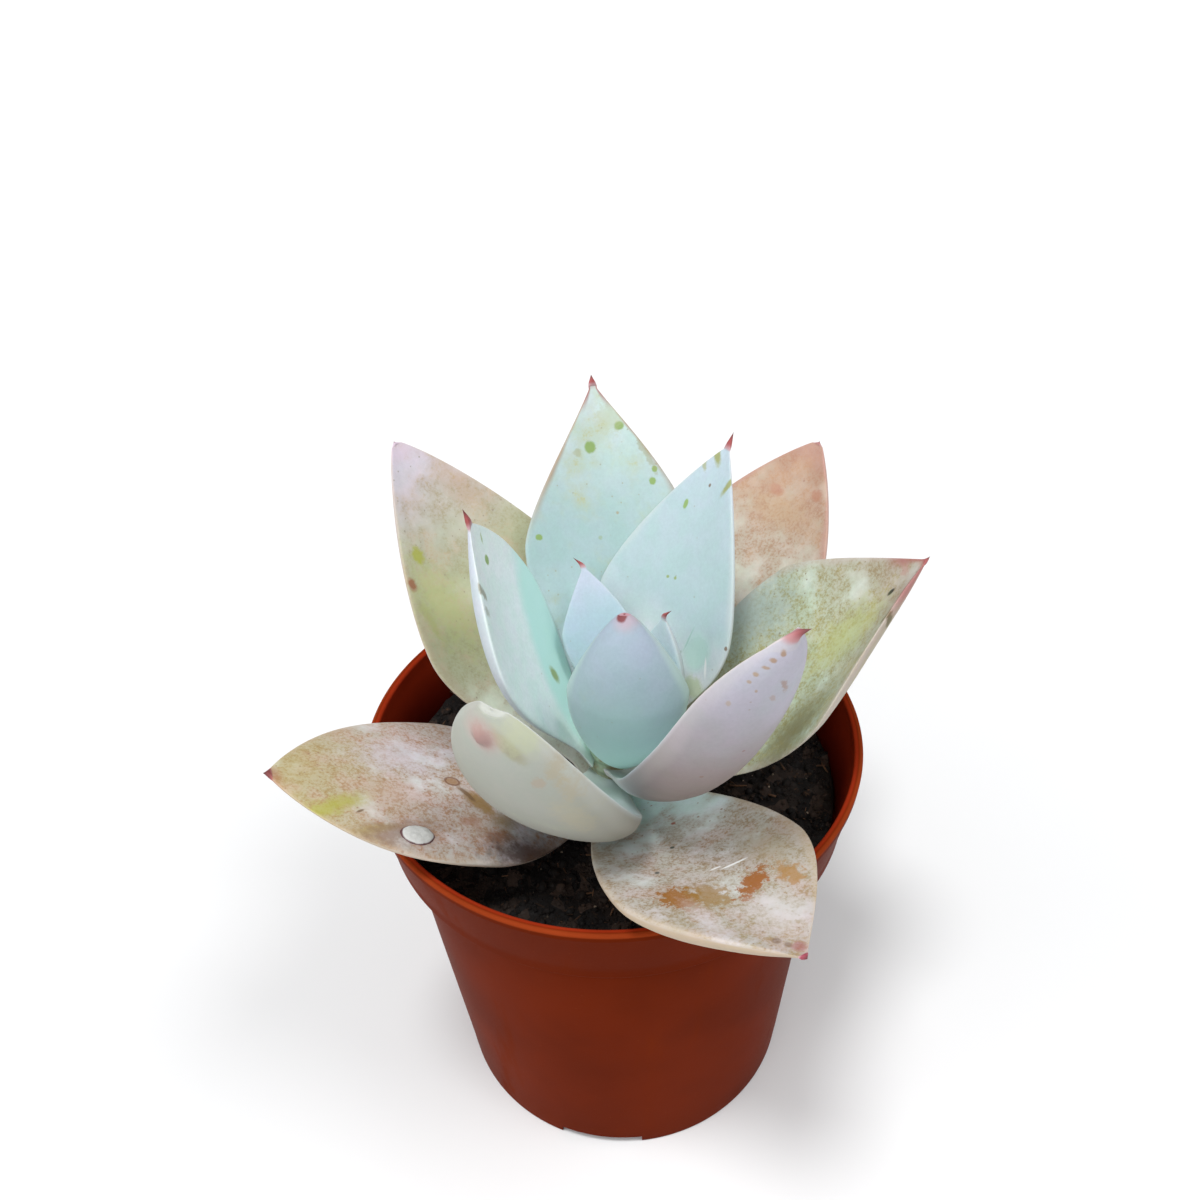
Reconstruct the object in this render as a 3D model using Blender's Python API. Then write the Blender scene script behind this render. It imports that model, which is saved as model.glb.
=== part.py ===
"""Potted succulent: a rosette of thick pointed leaves on a short stem, planted in a round nursery pot.

Frame: metres, +Z up. The origin is the centre of the pot's foot, where it stands; the pot is turned
about Z. Leaves are listed from the bud outwards, and their azimuth is counted from +X towards +Y.
"""

from dataclasses import dataclass
from math import cos, pi, radians, sin, tau

import bpy
from mathutils import Vector, noise

MM = 0.001
GAP = 0.3 * MM

# The pot, a thin moulded nursery pot.
POT_HEIGHT = 78.6 * MM
RIM_RADIUS = 42.5 * MM
LIP_WIDTH = 1.5 * MM
LIP_DROP = 1.6 * MM
BAND_RADIUS = 42.2 * MM
BAND_BOTTOM_RADIUS = 39.9 * MM
BAND_BOTTOM_Z = 65.1 * MM
SHOULDER_RADIUS = 37.3 * MM
SHOULDER_Z = 61.5 * MM
FOOT_RADIUS = 31.9 * MM
POT_WALL = 1.2 * MM
FOOT_RING_WIDTH = 2.4 * MM
FLOOR_LIFT = 2.0 * MM
CENTRE_PAD_RADIUS = 9.0 * MM
POT_SEGMENTS = 72

# Three drainage notches through the foot ring and six round drainage holes through the floor.
NOTCH_COUNT = 3
NOTCH_FIRST_AZIMUTH = radians(260)
NOTCH_WIDTH = 15.4 * MM
NOTCH_HEIGHT = 1.7 * MM
DRAIN_COUNT = 6
DRAIN_RADIUS = 3.5 * MM
DRAIN_CIRCLE_RADIUS = 20.0 * MM

# The soil, which dips round the stem and is uneven on top.
SOIL_WALL_Z = 67.0 * MM
SOIL_CENTRE_Z = 63.4 * MM
SOIL_DIP_RADIUS = 28.0 * MM
SOIL_ROUGHNESS = 0.5 * MM
SOIL_LUMP_SIZE = 9.0 * MM
SOIL_SEGMENTS = 48

# The stem, with the taproot that it stands on.
STEM_TOP_Z = 81.0 * MM
STEM_TOP_RADIUS = 2.6 * MM
STEM_RADIUS = 3.8 * MM
ROOT_DEPTH_Z = 34.0 * MM
ROOT_END_RADIUS = 0.8 * MM
STEM_SEGMENTS = 16

# Every leaf.
LEAF_FOOT_RADIUS = 4.8 * MM  # how far from the stem's axis the midrib starts
LEAF_FOOT_SHARE = 0.3  # the foot's width, as a share of the widest width
LEAF_UPPER_SWELL = 1.1 * MM
LEAF_STATIONS = 15
LEAF_STATION_EASE = 1.6  # above 1, the stations stand closer together towards the tip
LEAF_RING_POINTS = 12
BLADE_END = 0.985  # the share of the length where the blade gives way to its spike
SPIKE_RADIUS = 0.75 * MM
SPIKE_STEPS = 4


@dataclass(frozen=True)
class Leaf:
    """One leaf: lengths in millimetres and angles in degrees."""

    azimuth: float
    foot_z: float
    length: float
    rise: tuple[float, float]  # the midrib's slope at the foot and at the tip
    sweep: float  # how far the midrib turns sideways by the tip, towards +azimuth
    roll: tuple[float, float]  # the blade's roll at the foot, and what is added by the tip
    half_width: float
    widest: float  # share of the length
    taper: tuple[float, float]  # the outline past the widest place is (1 - x ** a) ** b
    belly: float  # depth of the lower face at the widest place
    cup: float  # how far the margins stand above the midrib, as a share of the half width
    spike: float  # length of the pointed tip
    hook: float = 0.0  # how far the spike bends towards the lower face


LEAVES = (
    Leaf(71, 82.0, 9.0, (77, 92), 0, (2, 0), 3.4, 0.58, (2.2, 0.85), 1.6, 0.12, 1.0),
    Leaf(228, 80.4, 12.0, (72, 92), 0, (0, 0), 3.4, 0.58, (2.2, 0.85), 1.8, 0.12, 1.0),
    Leaf(-1, 79.6, 24.5, (67, 93), -8, (50, 0), 5.0, 0.54, (1.5, 0.95), 2.2, 0.06, 2.6, 20),
    Leaf(97, 80.4, 24.4, (60, 49), 11, (-4, -4), 6.2, 0.54, (1.3, 1.0), 2.4, 0.16, 2.6, -15),
    Leaf(283, 77.2, 37.5, (43, 124), -20, (-4, -7), 9.6, 0.6, (1.3, 0.7), 4.6, 0.3, 1.2, 100),
    Leaf(49, 75.8, 52.0, (58, 62), -7, (-1, -15), 15.6, 0.42, (1.5, 0.9), 2.2, 0.12, 3.2),
    Leaf(166, 76.0, 47.0, (56, 83), 4, (-2, 7), 13.8, 0.54, (1.7, 0.85), 2.8, 0.14, 4.0, 10),
    Leaf(291, 72.8, 72.5, (33, 79), 21, (-3, 0), 9.8, 0.6, (3.0, 0.6), 4.0, 0.34, 4.0, 60),
    Leaf(85, 73.0, 64.0, (37, 65), 15, (16, 0), 16.2, 0.54, (1.5, 1.15), 3.4, 0.14, 2.0),
    Leaf(253, 70.6, 63.5, (27, 82), -15, (-6, 4), 13.4, 0.52, (2.1, 0.65), 5.2, 0.16, 2.6, 80),
    Leaf(0, 71.2, 63.5, (29, 62), -14, (25, -25), 18.0, 0.6, (1.4, 1.0), 3.0, 0.28, 2.4),
    Leaf(129, 70.4, 66.5, (30, 59), 14, (-5, 3), 18.0, 0.42, (1.5, 0.85), 3.6, 0.2, 0.8),
    Leaf(287, 67.4, 61.0, (29, 16), 13, (6, -11), 15.4, 0.62, (1.8, 1.1), 4.2, 0.16, 0.8),
    Leaf(54, 68.4, 70.0, (15, 55), -16, (1, -6), 16.8, 0.58, (1.7, 0.9), 3.4, 0.16, 0.8),
    Leaf(207, 66.0, 58.5, (30, 25), -12, (-4, 13), 18.0, 0.46, (2.7, 0.9), 2.8, -0.04, 1.2),
)

TERRACOTTA = ((0.42, 0.115, 0.04, 1.0), 0.45)
PEAT = ((0.016, 0.011, 0.008, 1.0), 0.95)
STEM_GREEN = ((0.36, 0.42, 0.26, 1.0), 0.7)
INNER_LEAF = ((0.60, 0.78, 0.74, 1.0), 0.6)
OUTER_LEAF = ((0.66, 0.55, 0.43, 1.0), 0.65)
FIRST_OUTER_LEAF = 11  # leaves from this number on have aged to tan


def clear_scene():
    """Removes every object, so that the script can be run again."""
    for obj in list(bpy.data.objects):
        bpy.data.objects.remove(obj, do_unlink=True)


def make_material(name, look):
    """Returns a Principled material of a plain colour and roughness."""
    colour, roughness = look
    material = bpy.data.materials.new(name)
    material.use_nodes = True
    shader = material.node_tree.nodes["Principled BSDF"]
    shader.inputs["Base Color"].default_value = colour
    shader.inputs["Roughness"].default_value = roughness
    return material


def add_object(name, points, faces, material):
    """Adds a smooth-shaded mesh object."""
    mesh = bpy.data.meshes.new(name)
    mesh.from_pydata(points, [], faces)
    mesh.validate()
    mesh.shade_smooth()
    mesh.set_sharp_from_angle(angle=radians(40))
    mesh.materials.append(material)
    obj = bpy.data.objects.new(name, mesh)
    bpy.context.scene.collection.objects.link(obj)
    return obj


def turned_faces(rings, segments, bottom_pole, top_pole):
    """Returns the faces of rings of points, each joined to the next and the first and last to a pole."""
    faces = []
    for j in range(segments):
        k = (j + 1) % segments
        faces.append((bottom_pole, k, j))
        for ring in range(rings - 1):
            low, high = ring * segments, (ring + 1) * segments
            faces.append((low + j, low + k, high + k, high + j))
        last = (rings - 1) * segments
        faces.append((last + j, last + k, top_pole))
    return faces


def turned_solid(name, profile, segments, material, lift=None):
    """Turns a profile of (radius, height) about Z, from a pole below to a pole above.

    The profile's first and last points lie on the axis. lift(x, y, z) gives a point's new height.
    """
    points = []
    for radius, height in profile[1:-1]:
        for j in range(segments):
            angle = tau * j / segments
            x, y = radius * cos(angle), radius * sin(angle)
            points.append((x, y, lift(x, y, height) if lift else height))
    poles = [(0.0, 0.0, profile[0][1]), (0.0, 0.0, profile[-1][1])]
    rings = len(profile) - 2
    faces = turned_faces(rings, segments, len(points), len(points) + 1)
    return add_object(name, points + poles, faces, material)


def outer_body_radius(height):
    """Returns the pot's outer radius on its straight body, below the shoulder."""
    return FOOT_RADIUS + (SHOULDER_RADIUS - FOOT_RADIUS) * height / SHOULDER_Z


def shoulder_points(wall):
    """Returns the hollow curve between the body and the band, moved inwards by the wall."""
    points = []
    steps = 4
    for i in range(steps + 1):
        turn = pi / 2 * i / steps
        radius = BAND_BOTTOM_RADIUS - (BAND_BOTTOM_RADIUS - SHOULDER_RADIUS) * cos(turn)
        height = SHOULDER_Z + (BAND_BOTTOM_Z - SHOULDER_Z) * sin(turn)
        points.append((radius - wall, height))
    return points


def inner_floor_z():
    """Returns the height of the pot's floor, inside."""
    return FLOOR_LIFT + POT_WALL


def pot_profile():
    """Returns the pot's section from the centre below, round the rim, to the centre of the floor."""
    pad = CENTRE_PAD_RADIUS
    ring_inner = FOOT_RADIUS - FOOT_RING_WIDTH
    lip_inner = RIM_RADIUS - LIP_WIDTH
    edge = 0.35 * MM
    outside = [(0.0, 0.0), (pad, 0.0), (pad + edge, FLOOR_LIFT), (ring_inner - edge, FLOOR_LIFT)]
    outside += [(ring_inner, 0.0), (FOOT_RADIUS - edge, 0.0), (FOOT_RADIUS, edge)]
    outside += shoulder_points(0.0)
    outside += [(BAND_RADIUS, POT_HEIGHT - LIP_DROP), (RIM_RADIUS, POT_HEIGHT - LIP_DROP + edge)]
    outside += [(RIM_RADIUS, POT_HEIGHT - edge), (RIM_RADIUS - edge, POT_HEIGHT)]
    inside = [(lip_inner + edge, POT_HEIGHT), (lip_inner, POT_HEIGHT - edge)]
    inside += [(lip_inner, POT_HEIGHT - LIP_DROP)]
    inside += reversed(shoulder_points(POT_WALL))
    floor = inner_floor_z()
    inside += [(outer_body_radius(floor) - POT_WALL, floor), (0.0, floor)]
    return outside + inside


def cutter(name, mesh_maker, **size):
    """Adds a hidden cutter made by a mesh primitive."""
    mesh_maker(**size)
    tool = bpy.context.object
    tool.name = name
    tool.hide_render = True
    tool.display_type = "WIRE"
    return tool


def cut(target, tool):
    """Cuts a tool out of a target."""
    boolean = target.modifiers.new("cut " + tool.name, "BOOLEAN")
    boolean.operation = "DIFFERENCE"
    boolean.solver = "EXACT"
    boolean.object = tool


def build_pot(material):
    """Builds the pot with its foot notches and drainage holes."""
    pot = turned_solid("pot", pot_profile(), POT_SEGMENTS, material)
    for i in range(NOTCH_COUNT):
        azimuth = NOTCH_FIRST_AZIMUTH + tau * i / NOTCH_COUNT
        place = Vector((FOOT_RADIUS * cos(azimuth), FOOT_RADIUS * sin(azimuth), 0.0))
        tool = cutter(f"notch_{i + 1}", bpy.ops.mesh.primitive_cube_add, size=1.0, location=place)
        tool.scale = (4 * FOOT_RING_WIDTH, NOTCH_WIDTH, 2 * NOTCH_HEIGHT)
        tool.rotation_euler.z = azimuth
        cut(pot, tool)
    for i in range(DRAIN_COUNT):
        azimuth = NOTCH_FIRST_AZIMUTH + tau * (i + 0.5) / DRAIN_COUNT
        middle = (DRAIN_CIRCLE_RADIUS * cos(azimuth), DRAIN_CIRCLE_RADIUS * sin(azimuth), FLOOR_LIFT)
        tool = cutter(
            f"drain_{i + 1}",
            bpy.ops.mesh.primitive_cylinder_add,
            vertices=16,
            radius=DRAIN_RADIUS,
            depth=4 * POT_WALL,
            location=middle,
        )
        cut(pot, tool)


def soil_height(x, y, level):
    """Returns the height of the soil's uneven top near the given level."""
    lump = noise.noise(Vector((x, y, 0.0)) / SOIL_LUMP_SIZE)
    return level + SOIL_ROUGHNESS * lump


def soil_level(radius):
    """Returns the mean height of the soil's top at a radius."""
    share = min(radius / SOIL_DIP_RADIUS, 1.0)
    return SOIL_CENTRE_Z + (SOIL_WALL_Z - SOIL_CENTRE_Z) * share**2


def build_soil(material):
    """Builds the soil, with the hole that the stem and its root stand in."""
    floor = inner_floor_z() + GAP
    wall = POT_WALL + GAP
    side = [(outer_body_radius(floor) - wall, floor)] + shoulder_points(wall)
    top_radius = side[-1][0] + GAP
    side.append((top_radius, SOIL_WALL_Z))
    rings = [top_radius * share for share in (0.93, 0.82, 0.68, 0.52, 0.37, 0.24)]
    top = [(radius, soil_level(radius)) for radius in rings]
    hole = [(STEM_RADIUS + GAP, soil_level(0.0)), (STEM_RADIUS + GAP, SOIL_CENTRE_Z - STEM_RADIUS)]
    hole += [(ROOT_END_RADIUS + 2 * GAP, ROOT_DEPTH_Z - GAP), (0.0, ROOT_DEPTH_Z - GAP)]
    top_from = BAND_BOTTOM_Z * 0.97 - 2 * MM

    def lift(x, y, z):
        inside = z > top_from and Vector((x, y)).length < 0.95 * top_radius
        return soil_height(x, y, z) if inside else z

    profile = [(0.0, floor)] + side + top + hole
    turned_solid("soil", profile, SOIL_SEGMENTS, material, lift)


def build_stem(material):
    """Builds the stem and the taproot below it."""
    collar = SOIL_CENTRE_Z - STEM_RADIUS
    profile = [(0.0, ROOT_DEPTH_Z), (ROOT_END_RADIUS, ROOT_DEPTH_Z), (STEM_RADIUS, collar)]
    profile += [(STEM_RADIUS, SOIL_CENTRE_Z), (STEM_RADIUS * 0.85, (SOIL_CENTRE_Z + STEM_TOP_Z) / 2)]
    profile += [(STEM_TOP_RADIUS, STEM_TOP_Z - STEM_TOP_RADIUS / 2), (0.0, STEM_TOP_Z)]
    turned_solid("stem", profile, STEM_SEGMENTS, material)


def outline(leaf, share):
    """Returns the half width at a share of the length, over the widest half width."""
    if share < leaf.widest:
        opening = sin(pi / 2 * share / leaf.widest) ** 1.3
        return LEAF_FOOT_SHARE + (1 - LEAF_FOOT_SHARE) * opening
    past = (share - leaf.widest) / (1 - leaf.widest)
    first, second = leaf.taper
    return (1 - past**first) ** second


def midrib(leaf, shares, fine=4):
    """Returns (point, tangent, side, upper normal) at each share of the leaf's length.

    The midrib is walked from the foot in small steps, as its slope and heading change evenly.
    """
    azimuth = radians(leaf.azimuth)
    point = Vector((LEAF_FOOT_RADIUS * cos(azimuth), LEAF_FOOT_RADIUS * sin(azimuth), leaf.foot_z * MM))
    before = 0.0
    frames = []
    for share in shares:
        for i in range(fine):
            middle = before + (share - before) * (i + 0.5) / fine
            point = point + heading(leaf, middle) * ((share - before) / fine * leaf.length * MM)
        before = share
        tangent = heading(leaf, share)
        turned = radians(leaf.azimuth + leaf.sweep * share)
        side = Vector((-sin(turned), cos(turned), 0.0))
        normal = tangent.cross(side)
        roll = radians(leaf.roll[0] + leaf.roll[1] * share)
        rolled_side = side * cos(roll) + normal * sin(roll)
        rolled_normal = normal * cos(roll) - side * sin(roll)
        frames.append((point.copy(), tangent, rolled_side, rolled_normal))
    return frames


def heading(leaf, share):
    """Returns the midrib's direction at a share of its length."""
    slope = radians(leaf.rise[0] + (leaf.rise[1] - leaf.rise[0]) * share)
    turned = radians(leaf.azimuth + leaf.sweep * share)
    return Vector((cos(slope) * cos(turned), cos(slope) * sin(turned), sin(slope)))


def blade_width(leaf, share):
    """Returns the blade's half width in metres, which is nowhere thinner than the spike."""
    return max(outline(leaf, share) * leaf.half_width * MM, SPIKE_RADIUS)


def leaf_ring(leaf, share, frame):
    """Returns the closed ring of points round the blade at a share of its length."""
    point, _, side, normal = frame
    width = blade_width(leaf, share)
    swell = (width / (leaf.half_width * MM)) ** 0.8 * (1 - 0.15 * share)
    ring = []
    for j in range(LEAF_RING_POINTS):
        angle = tau * j / LEAF_RING_POINTS
        across, up = cos(angle), sin(angle)
        depth = LEAF_UPPER_SWELL if up > 0 else leaf.belly * MM
        height = up * depth * swell + leaf.cup * width * across**2
        ring.append(point + side * (width * across) + normal * height)
    return ring


def spike_rings(leaf, frame):
    """Returns the rings of the spike, which narrows and bends away, and its end point."""
    centre, tangent, side, normal = frame
    spread = blade_width(leaf, BLADE_END) - SPIKE_RADIUS
    rings = []
    for i in range(1, SPIKE_STEPS + 1):
        bend = radians(leaf.hook) * min(1.0, 1.5 * (i - 0.5) / SPIKE_STEPS)
        ahead = tangent * cos(bend) - normal * sin(bend)
        over = normal * cos(bend) + tangent * sin(bend)
        centre = centre + ahead * (leaf.spike * MM / SPIKE_STEPS)
        left = 1 - i / SPIKE_STEPS
        radius = SPIKE_RADIUS * left**0.7
        width = radius + spread * left**3
        ring = []
        for j in range(LEAF_RING_POINTS):
            angle = tau * j / LEAF_RING_POINTS
            ring.append(centre + side * (width * cos(angle)) + over * (radius * sin(angle)))
        rings.append(ring)
    return rings[:-1], centre


def build_leaf(name, leaf, material):
    """Builds one leaf as a closed blade, from its foot to the end of its spike."""
    last = LEAF_STATIONS - 1
    shares = [BLADE_END * (1 - (1 - i / last) ** LEAF_STATION_EASE) for i in range(LEAF_STATIONS)]
    frames = midrib(leaf, shares)
    rings = [leaf_ring(leaf, share, frame) for share, frame in zip(shares, frames)]
    spike, end = spike_rings(leaf, frames[-1])
    rings += spike
    points = [point for ring in rings for point in ring]
    foot = sum(rings[0], Vector()) / LEAF_RING_POINTS
    faces = turned_faces(len(rings), LEAF_RING_POINTS, len(points), len(points) + 1)
    add_object(name, points + [foot, end], faces, material)


def main():
    """Builds the pot, the soil, the stem and the leaves."""
    clear_scene()
    build_pot(make_material("terracotta_plastic", TERRACOTTA))
    build_soil(make_material("peat", PEAT))
    build_stem(make_material("stem_green", STEM_GREEN))
    inner = make_material("inner_leaf", INNER_LEAF)
    outer = make_material("outer_leaf", OUTER_LEAF)
    for number, leaf in enumerate(LEAVES, start=1):
        build_leaf(f"leaf_{number:02d}", leaf, outer if number >= FIRST_OUTER_LEAF else inner)


main()
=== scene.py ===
"""The looks of a potted succulent: a rosette of bloomed, thick leaves in a round nursery pot.

Everything is in metres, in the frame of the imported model: the origin is the centre of the pot's
foot, +Z is up, and a leaf's azimuth is counted from +X towards +Y. Leaves are listed from the
bud outwards.
"""

import logging
from collections.abc import Callable
from dataclasses import dataclass, field, replace
from enum import Enum
from math import cos, pi, radians, sin, tau

import bpy
import numpy as np
from mathutils import Matrix, Vector, noise


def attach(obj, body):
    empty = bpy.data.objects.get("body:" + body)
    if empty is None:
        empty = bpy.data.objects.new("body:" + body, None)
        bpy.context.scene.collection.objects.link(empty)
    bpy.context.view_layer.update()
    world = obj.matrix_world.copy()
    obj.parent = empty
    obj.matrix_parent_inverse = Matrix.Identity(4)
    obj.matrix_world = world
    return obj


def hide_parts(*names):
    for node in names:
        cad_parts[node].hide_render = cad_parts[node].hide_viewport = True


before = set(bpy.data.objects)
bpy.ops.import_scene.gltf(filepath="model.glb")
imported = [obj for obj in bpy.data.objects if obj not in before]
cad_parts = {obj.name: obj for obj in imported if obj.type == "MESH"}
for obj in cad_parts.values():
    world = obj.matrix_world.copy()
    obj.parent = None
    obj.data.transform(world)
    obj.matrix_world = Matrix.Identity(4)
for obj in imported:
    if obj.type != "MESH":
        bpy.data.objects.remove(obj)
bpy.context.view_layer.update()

MM = 0.001
BODY = "root"

log = logging.getLogger("potted_succulent")

Colour = tuple[float, float, float]
Spread = tuple[float, float]
Socket = bpy.types.NodeSocket


class Slot(Enum):
    """The record's material slots."""

    INNER_LEAF = "inner_leaf"
    OUTER_LEAF = "outer_leaf"
    POT = "pot_plastic"
    SOIL = "peat_soil"
    STEM = "stem"


class Face(Enum):
    """The two faces of a leaf."""

    UPPER = 1.0
    LOWER = -1.0


# ---- Shader trees ----


class Wiring:
    """Adds nodes to one shader or geometry tree and joins them."""

    def __init__(self, tree: bpy.types.NodeTree) -> None:
        """Keeps the tree that the nodes go in."""
        self.tree = tree

    def put(self, socket: bpy.types.NodeSocket, value: object) -> None:
        """Joins a socket to another socket, or gives it a plain value."""
        if isinstance(value, bpy.types.NodeSocket):
            self.tree.links.new(value, socket)
        elif isinstance(value, tuple) and socket.type == "RGBA" and len(value) == 3:
            socket.default_value = (*value, 1.0)
        else:
            socket.default_value = value

    def add(self, kind: str, inputs: dict | None = None, **settings: object) -> bpy.types.Node:
        """Adds a node.

        Args:
            kind: The node's type.
            inputs: Sockets or plain values for its inputs, by name or number.
            settings: Values for the node's own properties.

        Returns:
            The node.
        """
        node = self.tree.nodes.new(kind)
        for name, value in settings.items():
            setattr(node, name, value)
        for name, value in (inputs or {}).items():
            self.put(node.inputs[name], value)
        return node

    def use(self, group: bpy.types.NodeTree, **values: object) -> bpy.types.bpy_prop_collection:
        """Places a shader group with its inputs, by name, and returns its outputs."""
        return self.add("ShaderNodeGroup", values, node_tree=group).outputs

    def give(self, **values: object) -> bpy.types.NodeTree:
        """Joins the group's outputs, by name, and returns its tree."""
        self.add("NodeGroupOutput", values)
        return self.tree

    def math(self, operation: str, *values: object) -> Socket:
        """Returns what a Math node makes of sockets or numbers."""
        return self.add("ShaderNodeMath", dict(enumerate(values)), operation=operation).outputs[0]

    def rest(self, value: object) -> Socket:
        """Returns 1 less a value."""
        return self.math("SUBTRACT", 1.0, value)

    def vector(self, operation: str, *values: object) -> Socket:
        """Returns the vector that a Vector Math node makes."""
        inputs = dict(enumerate(values))
        return self.add("ShaderNodeVectorMath", inputs, operation=operation).outputs[0]

    def number(self, operation: str, *values: object) -> Socket:
        """Returns the number that a Vector Math node makes."""
        inputs = dict(enumerate(values))
        return self.add("ShaderNodeVectorMath", inputs, operation=operation).outputs["Value"]

    def scaled(self, vector: object, by: object) -> Socket:
        """Returns a vector times a number."""
        inputs = {0: vector, "Scale": by}
        return self.add("ShaderNodeVectorMath", inputs, operation="SCALE").outputs[0]

    def split(self, vector: object) -> bpy.types.bpy_prop_collection:
        """Returns the X, Y and Z of a vector."""
        return self.add("ShaderNodeSeparateXYZ", {0: vector}).outputs

    def step(self, value: object, low: object, high: object) -> Socket:
        """Returns a value from 0 at low to 1 at high, with soft ends."""
        inputs = {"Value": value, "From Min": low, "From Max": high}
        return self.add("ShaderNodeMapRange", inputs, interpolation_type="SMOOTHSTEP").outputs[0]

    def mix(self, share: object, first: object, second: object, blend: str = "MIX") -> Socket:
        """Returns the first colour with a share of the second in it."""
        inputs = {0: share, 6: first, 7: second}
        return self.add("ShaderNodeMix", inputs, data_type="RGBA", blend_type=blend).outputs[2]

    def lerp(self, share: object, first: object, second: object) -> Socket:
        """Returns the first number with a share of the second in it."""
        inputs = {0: share, 2: first, 3: second}
        return self.add("ShaderNodeMix", inputs, data_type="FLOAT").outputs[0]

    def noise(self, place: object, size: float, detail: float = 3.0, rough: float = 0.55) -> Socket:
        """Adds a noise texture.

        Args:
            place: The coordinates, in metres.
            size: The width of its lumps, in metres.
            detail: How many finer layers it has.
            rough: How strong the finer layers are.

        Returns:
            Its value, which is 0.5 on average.
        """
        inputs = {"Vector": place, "Scale": 1 / size, "Detail": detail, "Roughness": rough}
        return self.add("ShaderNodeTexNoise", inputs).outputs["Fac"]

    def cells(self, place: object, size: float) -> bpy.types.bpy_prop_collection:
        """Returns the outputs of a Voronoi texture with cells of a size in metres."""
        return self.add("ShaderNodeTexVoronoi", {"Vector": place, "Scale": 1 / size}).outputs


@dataclass(frozen=True)
class Plug:
    """One input or output of a node group."""

    name: str
    kind: str = "Float"
    value: object = None


PLACE = Plug("Place", "Vector")
SURFACE = (Plug("Color", "Color"), Plug("Roughness"), Plug("Height"))
EVEN_TONE = (0.33, 0.33, 0.34)  # makes one number of a cell's colour
LEVEL = (1.0, 1.0, 0.0)  # lays a vector flat


def new_group(
    name: str, *inputs: Plug, outputs: tuple[Plug, ...], kind: str = "ShaderNodeTree"
) -> tuple[Wiring, bpy.types.bpy_prop_collection]:
    """Starts a node group.

    Args:
        name: The group's name.
        inputs: Its inputs, with their defaults.
        outputs: Its outputs.
        kind: The kind of tree.

    Returns:
        The wiring of its tree, and the sockets that its inputs come in by.
    """
    tree = bpy.data.node_groups.new(name, kind)
    for way, plugs in (("INPUT", inputs), ("OUTPUT", outputs)):
        for plug in plugs:
            socket = tree.interface.new_socket(
                plug.name, in_out=way, socket_type=f"NodeSocket{plug.kind}"
            )
            if plug.value is not None:
                socket.default_value = plug.value
    wiring = Wiring(tree)
    return wiring, wiring.add("NodeGroupInput").outputs


class Finish(Wiring):
    """The wiring of one material."""

    def __init__(self, name: str, roughness: float, specular: float = 0.5) -> None:
        """Starts the material.

        Args:
            name: The material's name.
            roughness: Its roughness where nothing is joined to it.
            specular: The strength of its reflection.
        """
        self.material = bpy.data.materials.new(name)
        self.material.use_nodes = True
        super().__init__(self.material.node_tree)
        self.shader = self.tree.nodes["Principled BSDF"].inputs
        self.shader["Roughness"].default_value = roughness
        self.shader["Specular IOR Level"].default_value = specular
        self.place = self.add("ShaderNodeTexCoord").outputs["Object"]

    def attribute(self, name: str, output: str = "Vector") -> Socket:
        """Returns a value that the mesh carries."""
        return self.add("ShaderNodeAttribute", attribute_name=name).outputs[output]

    def bump(self, height: object, depth: float, strength: float) -> None:
        """Gives the shader a bump.

        Args:
            height: The socket of the height, from 0 to 1.
            depth: What a height of 1 is, in metres.
            strength: The bump's strength.
        """
        inputs = {"Distance": depth, "Strength": strength, "Height": height}
        self.put(self.shader["Normal"], self.add("ShaderNodeBump", inputs).outputs["Normal"])

    def dress(self, colour: object, roughness: object = None) -> bpy.types.Material:
        """Joins the colour, and the roughness if there is one, and returns the material."""
        self.put(self.shader["Base Color"], colour)
        if roughness is not None:
            self.put(self.shader["Roughness"], roughness)
        return self.material


def along_leaf_group() -> bpy.types.NodeTree:
    """Builds the group that runs a colour from a leaf's foot, over its middle, to its tip."""
    colours = (Plug("Foot", "Color"), Plug("Middle", "Color"), Plug("Tip", "Color"))
    w, given = new_group("foot_to_tip", Plug("Along"), *colours, outputs=(Plug("Color", "Color"),))
    along = given["Along"]
    lower = w.mix(w.step(along, 0.05, 0.5), given["Foot"], given["Middle"])
    return w.give(Color=w.mix(w.step(along, 0.55, 0.97), lower, given["Tip"]))


def bloom_wear_group() -> bpy.types.NodeTree:
    """Builds the group of where the waxy bloom is rubbed off: patches, broken into grains."""
    outputs = (Plug("Bare"), Plug("Grain"), Plug("Height"))
    w, given = new_group("bloom_wear", PLACE, Plug("Wear", value=0.3), outputs=outputs)
    place = given["Place"]
    patch = w.noise(place, 6.5 * MM, detail=5.0, rough=0.62)
    fine = w.noise(place, 0.5 * MM, detail=3.0, rough=0.75)
    grain = w.lerp(0.42, fine, w.noise(place, 1.7 * MM, detail=4.0, rough=0.7))
    low = w.math("MULTIPLY_ADD", given["Wear"], -0.7, 0.72)
    worn = w.step(patch, low, w.math("ADD", low, 0.3))
    edge = w.math("MULTIPLY_ADD", worn, -0.24, 0.64)
    grains = w.step(grain, edge, w.math("ADD", edge, 0.24))
    return w.give(Bare=w.lerp(0.4, grains, worn), Grain=grain, Height=w.lerp(0.5, grain, patch))


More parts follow.
